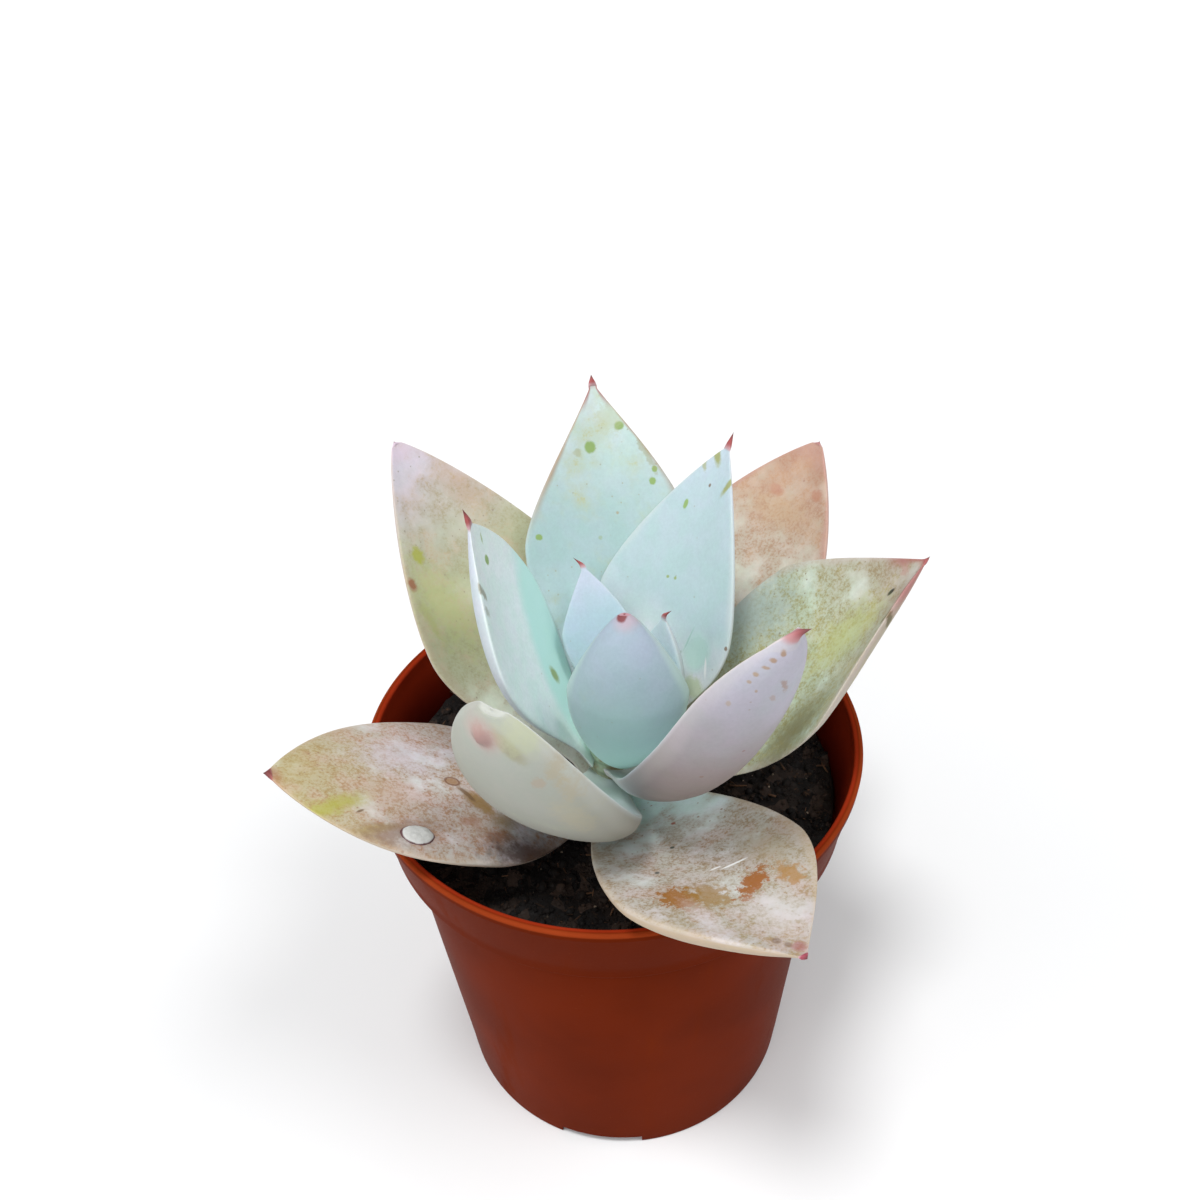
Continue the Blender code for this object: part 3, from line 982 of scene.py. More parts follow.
def middle_leaves() -> list[Leaf]:
    """Returns the six leaves whose bloom is whole or nearly so."""
    # azimuth, foot_z, length, rise, sweep, roll, half_width, widest, taper, belly, cup, spike, hook
    keeled = LeafShape(
        283, 77.2, 37.5, (43, 124), -20, (-4, -7), 9.6, 0.6, (1.3, 0.7), 4.6, 0.3, 0.5, 80
    )
    right_back = LeafShape(
        49, 75.8, 52.0, (58, 62), -7, (-1, -15), 15.6, 0.42, (1.5, 0.9), 2.2, 0.12, 3.3
    )
    left = LeafShape(
        166, 76.0, 47.0, (56, 83), 4, (-2, 7), 13.8, 0.54, (1.7, 0.85), 2.8, 0.14, 3.6, 10
    )
    right_front = LeafShape(
        291, 72.8, 72.5, (33, 79), 21, (-3, 0), 9.8, 0.6, (3.0, 0.55), 4.0, 0.34, 4.2, 42
    )
    back = LeafShape(
        85, 73.0, 64.0, (37, 65), 15, (16, 0), 16.2, 0.54, (1.5, 1.15), 3.4, 0.14, 2.1
    )
    left_front = LeafShape(
        253, 70.6, 63.5, (27, 82), -15, (-6, 4), 13.4, 0.52, (2.1, 0.65), 5.2, 0.16, 0.3, 60
    )
    return [
        young_leaf(
            5, keeled,
            inner_finish(
                # Painted light and shade on the lower face: the foot is pure white, standing in for
                # light in its shade, and the middle is darkened as painted shade.
                MINT, SKY, SKY, under=((1.0, 1.0, 1.0), (0.27, 0.46, 0.47), (0.31, 0.44, 0.54)),
                blush=0.985, blush_colour=(0.5, 0.36, 0.42), tip=(0.46, 0.26, 0.3),
                spike_end=(0.3, 0.1, 0.1), margin=(0.5, 0.76, 0.66), margin_strength=0.5,
            ),
            marks=marks(
                (36.4, 0.4, 2.0, 1.7, (0.5, 0.33, 0.38), 0.6, 0, 0.2, 0.8),
                (36.8, -0.3, 0.9, 0.9, (0.2, 0.045, 0.05), 0.95, 0, 0.2, 0.3),
                # Painted light: a large pale patch over the shaded foot of the lower face.
                (9.0, 0.0, 9.5, 13.0, (0.62, 0.94, 0.86), 0.85, 0, 0.05, 0.9),
                (3.0, 6.5, 3.0, 9.0, (0.46, 0.74, 0.46), 0.6, 30, 0.2, 0.9),
                (3.0, -6.5, 3.0, 9.0, (0.46, 0.74, 0.46), 0.6, -30, 0.2, 0.9),
                face=Face.LOWER,
            ),
            relief=Relief(keel=0.2, ripple=0.12, spike_radius=0.5),
        ),
        young_leaf(
            6, right_back,
            inner_finish(
                (1.0, 1.0, 1.0), (0.4, 0.62, 0.64), (0.46, 0.66, 0.73), margin_strength=0.4,
                blush=0.99,
            ),
            marks=marks(
                (40.1, 4.2, 0.5, 0.9, *GREEN_SPOT),
                (44.8, 0.6, 0.3, 0.35, BROWN),
                (27.5, 2.3, 0.35, 0.3, OLIVE),
                (27.9, 0.7, 0.3, 0.3, OLIVE),
                (21.9, -15.2, 0.3, 0.4, BROWN),
                (18.2, -9.2, 3.0, 3.8, (0.46, 0.74, 0.62), 0.5, -20, 0.1, 0.45, True),
                (20.0, -6.9, 0.2, 2.6, (0.3, 0.52, 0.44), 0.6, -12, 0.15),
                (16.9, -12.0, 0.3, 1.8, WHITE, 0.95, 20, 0.1, 0.45, True),
                (12.6, -10.6, 2.6, 2.0, (0.46, 0.56, 0.26), 0.6, 0, 0.4),
                (16.0, -5.4, 0.5, 1.2, (0.12, 0.2, 0.1), 0.8, -20, 0.4),
                (50.0, 1.7, 0.8, 2.2, (0.33, 0.35, 0.12), 0.9, 38, 0.3),
                (47.6, 3.6, 0.5, 1.6, (0.36, 0.38, 0.16), 0.7, 35, 0.5),
                (47.0, -4.2, 0.6, 3.0, (0.33, 0.35, 0.12), 0.9, -24, 0.3),
            ),
            dents=(Dent(18.2, -9.4, (2.4, 3.4), 0.5), Dent(20.6, -7.4, (0.8, 2.4), -0.35)),
        ),
        young_leaf(
            7, left,
            inner_finish(
                # Painted light: the bloom is raised nearly to white, since the leaf faces away from
                # the lamps.
                (0.76, 0.98, 0.96), (0.8, 1.0, 1.0), (0.84, 1.0, 1.0),
                under=((0.4, 0.46, 0.42), (0.46, 0.6, 0.66), (0.52, 0.66, 0.74)), blush=0.985,
            ),
            marks=marks(
                # Painted shade: a darker mint strip beyond the fold, on the side that turns away
                # from the light.
                (16.0, -6.4, 5.4, 21.0, (0.5, 0.84, 0.78), 0.8, -21.5, 0.08, 0.4),
                (39.2, -1.1, 0.8, 0.9, *GREEN_SPOT),
                (12.3, -3.4, 0.9, 1.8, (0.3, 0.4, 0.16), 0.9, 0, 0.2),
                (42.6, -2.4, 0.3, 0.9, OLIVE, 0.7, -20),
                (39.0, 7.0, 0.8, 2.2, (0.3, 0.28, 0.2), 0.8, 18, 0.8),
                (36.0, 8.6, 0.7, 1.4, (0.42, 0.44, 0.38), 0.7, 18, 0.8),
            ),
            relief=Relief(groove=0.0, ripple=0.2, fold=(5.6, -0.394, 0.08), spike_radius=0.8),
        ),
        young_leaf(
            8, right_front,
            inner_finish(
                # Painted light and shade on the lower face: near white at the shaded foot, and
                # darkened over the middle, where the belly faces down.
                AQUA, SKY, PALE, under=((0.9, 1.0, 0.98), (0.225, 0.27, 0.26), (0.43, 0.54, 0.64)),
                blush=1.3, blush_colour=(0.48, 0.27, 0.28), tip=(0.4, 0.12, 0.13), red_from=0.34,
                flush=0.0, margin=(0.62, 0.66, 0.64), pores=0.1,
            ),
            marks=marks(
                (66.2, -0.7, 0.45, 1.5, (0.3, 0.26, 0.2), 0.8, -30, 0.9),
                (64.2, -1.8, 0.35, 0.9, (0.36, 0.32, 0.26), 0.6, -30, 0.9),
                (71.3, -1.5, 0.35, 0.3, (0.3, 0.22, 0.08), 0.85, 0, 0.5),
                (70.6, -2.6, 0.4, 0.35, (0.3, 0.22, 0.08), 0.85, 0, 0.5),
                (69.6, -3.4, 0.4, 0.3, (0.34, 0.27, 0.12), 0.8, 0, 0.6),
                (68.6, -4.4, 0.3, 0.35, (0.36, 0.3, 0.14), 0.8, 0, 0.6),
                (67.4, -5.0, 0.25, 0.3, (0.36, 0.3, 0.14), 0.7, 0, 0.6),
                (66.0, -4.2, 0.2, 0.3, (0.36, 0.3, 0.14), 0.7, 0, 0.6),
                (63.4, -6.6, 0.25, 0.5, (0.36, 0.32, 0.18), 0.6, 0, 0.6),
                (44.0, -5.0, 0.3, 0.35, BROWN, 0.6, 0, 0.3),
                (52.0, -2.0, 0.25, 0.3, BROWN, 0.6, 0, 0.3),
                face=Face.LOWER,
            ),
            relief=Relief(keel=0.3, ripple=0.25, spike_radius=1.0, lean=30.0, droop=1.0),
        ),
        young_leaf(
            9, back,
            inner_finish(
                (0.76, 1.0, 1.0), (0.35, 0.6, 0.6), (0.6, 0.82, 0.8), wear=(0.1, 0.34, 0.5),
                blush=0.975, red_edge=0.8, margin=(0.34, 0.25, 0.13), margin_strength=0.85,
                margin_from=0.5, blush_strength=0.5, pores=0.3, pore_colour=(0.28, 0.32, 0.14),
            ),
            marks=marks(
                (52.3, 2.0, 1.15, 1.2, *GREEN_SPOT),
                (55.5, -4.0, 0.95, 0.8, *GREEN_SPOT),
                (47.2, -9.7, 0.55, 0.6, *GREEN_SPOT),
                (45.1, -9.1, 0.65, 0.7, *GREEN_SPOT),
                (36.5, 13.6, 0.7, 0.65, *GREEN_SPOT),
                (35.7, 1.7, 0.45, 0.4, OLIVE, 0.4),
                (51.5, 4.6, 0.8, 0.8, (0.4, 0.4, 0.2), 0.5, 0, 0.8),
                (57.5, -2.6, 2.6, 3.0, (0.5, 0.54, 0.34), 0.4, 0, 1.0),
                (50.0, -8.5, 0.6, 3.5, (0.36, 0.34, 0.18), 0.5, 24, 1.0),
                (40.0, -2.0, 0.3, 0.3, OCHRE, 0.6),
            ),
            relief=Relief(spike_radius=0.8),
        ),
        young_leaf(
            10, left_front,
            inner_finish(
                AQUA, SKY, PALE,
                # Painted shade: the lower face, which faces the viewer, is darkened to a dark olive
                # brown.
                under=((0.155, 0.13, 0.075), (0.145, 0.135, 0.085), (0.27, 0.29, 0.24)),
                under_wear=0.2, tip=(0.5, 0.52, 0.48), blush=1.2, blush_colour=(0.52, 0.54, 0.5),
                spike_end=(0.5, 0.52, 0.48), margin=(0.6, 0.62, 0.58), pores=0.12,
            ),
            marks=marks(
                (58.6, 2.9, 1.2, 3.2, (0.19, 0.15, 0.03), 0.85, -42, 0.3, 0.5),
                (60.6, 4.6, 3.4, 3.2, (0.46, 0.5, 0.24), 0.6, -20, 0.7, 0.9),
                (54.3, 8.0, 0.9, 2.4, (0.34, 0.24, 0.1), 0.6, -14, 1.0, 0.7),
                (50.5, 9.4, 1.0, 2.4, (0.36, 0.27, 0.12), 0.5, -10, 1.0, 0.8),
                (52.6, 6.2, 1.0, 1.1, (0.34, 0.2, 0.1), 0.6, 0, 0.9),
                (59.2, -1.2, 3.0, 2.6, (0.52, 0.3, 0.28), 0.75, 0, 0.25, 0.9),
                (59.3, -0.8, 1.9, 2.0, (0.34, 0.1, 0.08), 1.0, 20, 0.3, 0.8),
                (59.2, -0.5, 1.3, 1.4, (0.25, 0.05, 0.045), 0.85, 20, 0.15, 0.6),
                (58.2, -1.6, 1.3, 0.7, (0.15, 0.045, 0.035), 0.7, 20, 0.3, 0.6),
                (44.0, 9.0, 2.2, 5.0, (0.4, 0.33, 0.16), 0.5, -10, 1.0, 0.8),
                face=Face.LOWER,
            ),
            dents=(Dent(59.3, -1.1, (1.1, 1.2), -1.0, Face.LOWER),),
            relief=Relief(keel=0.1, ripple=0.3, spike_radius=0.35, thick_margin=0.72),
        ),
    ]


def aged_leaves() -> list[Leaf]:
    """Returns the five outer leaves, aged to tan and pink."""
    # azimuth, foot_z, length, rise, sweep, roll, half_width, widest, taper, belly, cup, spike, hook
    right = LeafShape(
        0, 71.2, 63.5, (29, 62), -14, (25, -25), 18.0, 0.6, (1.4, 1.0), 2.6, 0.28, 1.7
    )
    back_left = LeafShape(
        129, 70.4, 66.5, (30, 59), 14, (-5, 3), 18.0, 0.42, (1.5, 0.85), 3.6, 0.2, 0.8
    )
    front = LeafShape(
        287, 67.4, 61.0, (29, 16), 13, (6, -11), 15.4, 0.62, (1.8, 1.1), 4.2, 0.16, 1.0
    )
    back_right = LeafShape(
        54, 68.4, 70.0, (15, 55), -16, (1, -6), 16.8, 0.58, (1.7, 0.9), 3.4, 0.16, 0.8
    )
    left = LeafShape(
        207, 66.0, 58.5, (30, 25), -12, (-4, 13), 18.0, 0.46, (2.7, 0.9), 2.8, -0.04, 1.4
    )
    tan_under = ((0.46, 0.4, 0.32), (0.52, 0.46, 0.4), (0.52, 0.42, 0.38))
    return [
        old_leaf(
            11, right,
            LeafFinish(
                bloom=((0.3, 0.34, 0.24), (0.66, 0.84, 0.72), (0.56, 0.56, 0.5)),
                bare=((0.2, 0.18, 0.08), (0.3, 0.31, 0.12), (0.3, 0.24, 0.13)),
                wear=(0.62, 0.74, 0.7), flush=0.12,
                under=((0.34, 0.32, 0.2), (0.46, 0.46, 0.34), (0.44, 0.38, 0.3)), under_wear=0.35,
                pores=0.45, tip=(0.38, 0.11, 0.11), blush=0.935, blush_strength=0.9,
                blush_colour=(0.46, 0.19, 0.17), red_edge=0.7, margin=(0.56, 0.52, 0.5),
                margin_strength=0.5, stain=(0.42, 0.4, 0.12), stain_strength=0.6,
            ),
            marks=(
                *marks(
                    (55.3, 0.2, 0.45, 0.9, BLACK, 0.95, 0, 0.1),
                    (45.0, -1.0, 4.4, 8.0, (0.46, 0.5, 0.16), 0.55, 0, 1.0, 0.9),
                    (32.0, -13.0, 5.0, 9.0, (0.17, 0.15, 0.06), 0.8, 14, 0.6, 0.9),
                    (28.0, 14.0, 6.0, 10.0, (0.34, 0.43, 0.43), 0.7, 0, 0.8, 0.9),
                    (14.0, -6.0, 6.0, 10.0, (0.3, 0.26, 0.12), 0.6, 0, 0.8, 0.9),
                ),
                *marks(
                    # Painted shadow of leaf_08: a dark olive patch by the tip, on the lower face.
                    (55.3, -6.8, 0.7, 1.8, (0.14, 0.12, 0.05), 0.9, 0, 0.6),
                    face=Face.LOWER,
                ),
                *marks(
                    # Painted shadow of leaf_08 by the tip, on the upper face.
                    (55.0, -6.4, 0.7, 1.6, (0.16, 0.14, 0.06), 0.85, 0, 0.6),
                    (59.0, 2.0, 1.6, 1.0, (0.46, 0.24, 0.2), 0.6, 0, 0.8),
                ),
            ),
            relief=Relief(ripple=0.4, spike_radius=0.5, thick_margin=1.0),
        ),
        old_leaf(
            12, back_left,
            LeafFinish(
                bloom=((0.86, 0.98, 0.84), (0.43, 0.5, 0.25), (0.64, 0.6, 0.68)),
                bare=((0.4, 0.38, 0.22), (0.28, 0.3, 0.08), (0.36, 0.27, 0.14)),
                wear=(0.56, 0.74, 0.5), under=tan_under, under_wear=0.35, pores=0.4,
                tip=(0.6, 0.48, 0.58), blush=0.93, blush_strength=0.5,
                blush_colour=(0.72, 0.6, 0.72), margin=(0.42, 0.33, 0.18), margin_strength=0.35,
                stain=(0.52, 0.4, 0.2), stain_strength=0.6,
            ),
            marks=marks(
                (37.0, 9.5, 4.4, 11.0, (0.45, 0.5, 0.2), 0.55, 6, 1.0, 0.9),
                (47.1, 8.6, 1.2, 1.8, (0.38, 0.4, 0.05), 0.8, 0, 0.6),
                (43.2, 13.0, 0.9, 1.4, (0.3, 0.11, 0.05), 0.85, 0, 0.5),
                (53.0, -6.8, 2.4, 6.0, (0.5, 0.34, 0.22), 0.45, 24, 1.0, 0.9),
                (36.0, 13.6, 0.9, 5.0, (0.38, 0.4, 0.14), 0.5, 0, 0.8, 0.8),
            ),
            relief=Relief(ripple=0.4, spike_radius=0.5),
        ),
        old_leaf(
            13, front,
            LeafFinish(
                # Painted light: the bloom at the foot is near white and little worn, standing in
                # for light in the foot's shade.
                bloom=((0.66, 1.0, 1.0), (0.68, 0.74, 0.74), (0.6, 0.6, 0.62)),
                bare=((0.4, 0.46, 0.44), (0.26, 0.19, 0.08), (0.28, 0.24, 0.08)),
                wear=(0.1, 0.76, 0.72), flush=0.14,
                under=((0.38, 0.3, 0.19), (0.44, 0.34, 0.2), (0.48, 0.39, 0.27)), under_wear=0.3,
                pores=0.55, pore_colour=(0.24, 0.16, 0.08), tip=(0.32, 0.06, 0.09), blush=0.97,
                margin=(0.5, 0.42, 0.28), margin_strength=0.5, stain=(0.4, 0.22, 0.11),
                stain_strength=0.4,
            ),
            marks=marks(
                (41.7, -7.4, 2.5, 3.1, (0.31, 0.12, 0.01), 0.92, 15, 1.8, 0.3),
                (43.2, -3.4, 2.6, 3.0, (0.31, 0.18, 0.04), 0.7, 15, 2.0, 0.4),
                (44.0, 3.4, 1.7, 3.8, (0.31, 0.1, 0.01), 0.92, -58, 1.8, 0.3),
                (45.8, 8.0, 1.5, 2.4, (0.38, 0.19, 0.04), 0.75, 0, 1.8, 0.4),
                (38.0, 9.6, 3.6, 5.4, (0.4, 0.32, 0.18), 0.5, 0, 1.0, 0.9),
                (38.2, 3.6, 2.2, 0.24, WHITE, 1.0, -4, 0.05, 0.3, True),
                (37.2, 1.0, 0.9, 0.2, WHITE, 0.8, -4, 0.05, 0.3),
                (56.2, -1.3, 0.7, 0.7, BROWN, 0.7),
                (57.6, -0.4, 0.6, 0.6, BROWN, 0.6),
                (58.6, 0.6, 1.0, 1.2, (0.34, 0.1, 0.12), 0.6, 0, 0.6),
                (26.7, -1.1, 0.4, 0.4, (0.06, 0.08, 0.07), 0.95, 0, 0.2),
                (33.0, -6.5, 0.4, 0.4, (0.06, 0.08, 0.07), 0.85, 0, 0.2),
                (19.8, 2.2, 0.4, 0.4, (0.32, 0.08, 0.04), 0.85, 0, 0.3),
                (52.0, 2.0, 4.0, 4.5, (0.66, 0.62, 0.62), 0.5, 0, 0.9, 0.9),
                (50.0, -7.0, 1.6, 7.0, (0.7, 0.66, 0.7), 0.5, 0, 0.8, 0.9),
            ),
            dents=(Dent(23.1, -2.4, (1.1, 2.6), 0.7), Dent(22.5, -0.4, (0.8, 2.2), -0.35)),
            relief=Relief(ripple=0.5, groove=0.1, spike_radius=0.8),
        ),
        old_leaf(
            14, back_right,
            LeafFinish(
                bloom=((0.62, 0.66, 0.6), (0.72, 0.76, 0.66), (0.5, 0.38, 0.28)),
                bare=((0.42, 0.33, 0.22), (0.44, 0.31, 0.2), (0.42, 0.22, 0.13)),
                wear=(0.6, 0.66, 0.8), flush=0.14, under=tan_under, under_wear=0.4, pores=0.25,
                pore_colour=(0.34, 0.14, 0.09), tip=(0.42, 0.2, 0.19), blush=0.9,
                blush_colour=(0.52, 0.3, 0.28), margin=(0.5, 0.29, 0.25), margin_strength=0.6,
                stain=(0.55, 0.36, 0.2), stain_strength=0.5,
            ),
            marks=marks(
                (58.0, 3.0, 1.6, 1.2, (0.46, 0.2, 0.15), 0.6, 0, 0.9),
                (60.5, -6.0, 1.4, 1.2, (0.46, 0.2, 0.13), 0.6, 0, 0.9),
                (55.0, 0.0, 9.0, 3.6, (0.56, 0.38, 0.22), 0.45, 0, 1.0, 0.9),
                (46.0, -12.0, 1.0, 2.0, (0.44, 0.22, 0.12), 0.6, 0, 0.8),
            ),
            relief=Relief(ripple=0.35, spike_radius=0.5),
        ),
        old_leaf(
            15, left,
            LeafFinish(
                bloom=((0.4, 0.5, 0.66), (0.72, 0.76, 0.78), (0.66, 0.66, 0.48)),
                bare=((0.18, 0.11, 0.07), (0.35, 0.22, 0.12), (0.4, 0.3, 0.09)),
                wear=(0.55, 0.72, 0.8), flush=0.12,
                under=((0.5, 0.44, 0.36), (0.54, 0.48, 0.4), (0.46, 0.4, 0.26)), under_wear=0.25,
                pores=0.4, pore_colour=(0.26, 0.13, 0.09), tip=(0.2, 0.05, 0.05), blush=0.94,
                blush_strength=0.5, blush_colour=(0.4, 0.14, 0.12), margin=(0.52, 0.44, 0.32),
                margin_strength=0.45, stain=(0.44, 0.24, 0.14), stain_strength=0.5,
            ),
            marks=marks(
                (28.4, 0.2, 1.0, 1.2, (0.34, 0.19, 0.09), 0.85, 0, 0.3, 0.45, False, SCAR_RIM),
                (25.2, 5.0, 1.8, 3.2, (0.32, 0.19, 0.06), 0.85, -50, 0.7),
                (26.8, 3.2, 0.6, 2.2, (0.18, 0.1, 0.05), 0.85, -60, 0.5),
                (21.8, 8.6, 2.4, 2.8, (0.28, 0.19, 0.08), 0.7, 0, 0.9, 0.8),
                (28.0, 9.6, 1.4, 2.0, (0.36, 0.16, 0.08), 0.6, 0, 1.0, 0.8),
                (24.6, 12.4, 1.4, 3.4, (0.3, 0.13, 0.07), 0.6, 0, 1.0, 0.8),
                (50.0, 7.4, 1.8, 7.0, (0.42, 0.42, 0.07), 0.75, 24, 0.8, 0.8),
                (44.0, 12.0, 1.0, 4.0, (0.44, 0.34, 0.13), 0.65, 14, 0.7, 0.7),
                (45.6, 8.2, 0.25, 0.8, BROWN, 0.85, 30, 0.2),
                (53.0, -2.0, 3.4, 3.0, (0.48, 0.4, 0.18), 0.35, 0, 1.0, 0.9),
                (36.0, -6.0, 5.0, 7.0, *LILAC_SPOT),
                (40.5, 12.6, 2.6, 7.0, (0.24, 0.13, 0.08), 0.65, 10, 1.0, 0.8),
                # Painted shadow: a near-black patch by the foot's edge, where the leaves beside
                # shade it.
                (20.0, 15.5, 3.4, 8.0, (0.07, 0.03, 0.02), 0.85, 0, 0.6, 0.8),
                (40.0, 4.0, 4.0, 5.0, (0.56, 0.36, 0.3), 0.4, 0, 1.0, 0.9),
            ),
            relief=Relief(ripple=0.45, groove=0.0, spike_radius=0.9),
        ),
    ]

@dataclass
class DriedDrop:
    """The dried white drop with its dark ring, which lies on a leaf; in millimetres."""

    along: float = 37.8
    across: float = 13.0
    half_along: float = 2.8
    half_across: float = 2.1
    proud: float = 0.5
    segments: int = 40
    rings: int = 10

    def build(self, leaf: Leaf) -> None:
        """Builds the drop on a leaf."""
        share = self.along / leaf.shape.length
        centre, tangent, side, normal = leaf.walk([share * i / 24 for i in range(1, 25)])[-1]
        width = leaf.outline(share) * leaf.shape.half_width
        swell = leaf.swell(share, width)
        rings = []
        for i in range(self.rings):
            t = (i + 1) / self.rings
            ring = []
            for j in range(self.segments):
                angle = tau * j / self.segments
                wobble = 1 + 0.08 * noise.noise(Vector((cos(angle), sin(angle), 3.0)) * 1.7)
                x = self.across + self.half_across * t * cos(angle) * wobble
                y = self.half_along * t * sin(angle) * wobble
                out = min(abs(x) / width, 0.999)
                skin = LEAF_UPPER_SWELL * swell * (1 - out**2) ** 0.5
                skin += leaf.shape.cup * width * out**2
                rise = self.proud * (1 - t**4) - 0.12 * t**4
                rise += 0.1 * noise.noise(Vector((x, y, 0.0)) * 1.5)
                up = normal * ((skin + rise) * MM)
                ring.append(centre + side * (x * MM) + tangent * (y * MM) + up)
            rings.append(ring)
        top = sum(rings[0], Vector()) / self.segments
        bottom = sum(rings[-1], Vector()) / self.segments - normal * (0.6 * MM)
        points = [point for ring in reversed(rings) for point in ring]
        faces = ring_faces(self.rings, self.segments, len(points), len(points) + 1)
        piece = make_piece("dried_drop", points + [bottom, top], faces, self.material(), 80.0)
        levels = [1 - i / self.rings for i in range(self.rings) for _ in range(self.segments)]
        layer = piece.data.attributes.new("drop_ring", "FLOAT", "POINT")
        layer.data.foreach_set("value", levels + [1.0, 0.0])
        settle(piece, Slot.OUTER_LEAF)

    def material(self) -> bpy.types.Material:
        """Builds the dried drop's material: chalky white inside a thin brown ring."""
        w = Finish("dried_sap", 0.45)
        grain = w.noise(w.place, 0.6 * MM, detail=4.0, rough=0.7)
        chalk = w.mix(grain, (0.46, 0.46, 0.44), (0.80, 0.81, 0.80))
        shake = w.math("SUBTRACT", grain, 0.5)
        edge = w.math("MULTIPLY_ADD", shake, 0.12, w.attribute("drop_ring", "Fac"))
        w.bump(grain, 0.15 * MM, 0.5)
        colour = w.mix(w.step(edge, 0.84, 0.92), chalk, (0.11, 0.045, 0.05))
        return w.dress(colour, w.lerp(grain, 0.3, 0.6))


@dataclass
class Rosette:
    """All the leaves, from the bud outwards, and the dried drop that lies on the last."""

    effects: Effects
    drop: DriedDrop = field(default_factory=DriedDrop)

    def build(self) -> None:
        """Builds every leaf and the dried drop."""
        leaves = bud_leaves() + middle_leaves() + aged_leaves()
        for leaf in leaves:
            leaf.build(self.effects)
        self.drop.build(leaves[-1])


# ---- Stem, soil and pot ----


@dataclass
class Stem:
    """The short stem that the leaves grow from, with its taproot."""

    radius: float = 4.4 * MM
    top_radius: float = 3.7 * MM
    top_z: float = 80.4 * MM
    collar_z: float = 62.6 * MM
    root_end: Spread = (1.0 * MM, 34.0 * MM)
    scars: int = 7
    segments: int = 64

    def profile(self) -> list[Spread]:
        """Returns the stem's section, with a low swelling below each old leaf scar."""
        points = [(0.0, self.root_end[1]), self.root_end]
        points.append((self.radius * 0.8, self.collar_z - 6 * MM))
        steps = 60
        for i in range(steps + 1):
            share = i / steps
            height = self.collar_z + (self.top_z - 2 * MM - self.collar_z) * share
            radius = self.radius + (self.top_radius - self.radius) * share
            points.append((radius + 0.18 * MM * sin(tau * self.scars * share), height))
        for share, down in ((0.75, 0.7), (0.4, 0.1), (0.0, 0.0)):
            points.append((self.top_radius * share, self.top_z - down * MM))
        return points

    def build(self) -> None:
        """Builds the stem."""

        def shift(point: Vector) -> Vector:
            bump = noise.noise(point * 350.0) * 0.25 * MM
            outwards = Vector((point.x, point.y, 0.0))
            return point + outwards.normalized() * bump if outwards.length > MM else point

        w = Finish("stem_bark", 0.7, 0.3)
        young = w.step(w.split(w.place)["Z"], 66 * MM, 76 * MM)
        colour = w.mix(young, (0.20, 0.15, 0.09), (0.42, 0.56, 0.40))
        grain = w.noise(w.place, 1.6 * MM, detail=4.0)
        colour = w.mix(w.step(grain, 0.45, 0.7), colour, (0.30, 0.26, 0.15))
        w.bump(grain, 0.3 * MM, 0.5)
        bark = w.dress(colour, w.lerp(grain, 0.6, 0.8))
        piece = turned_piece("stem_and_root", self.profile(), self.segments, bark, shift)
        settle(piece, Slot.STEM, "stem")


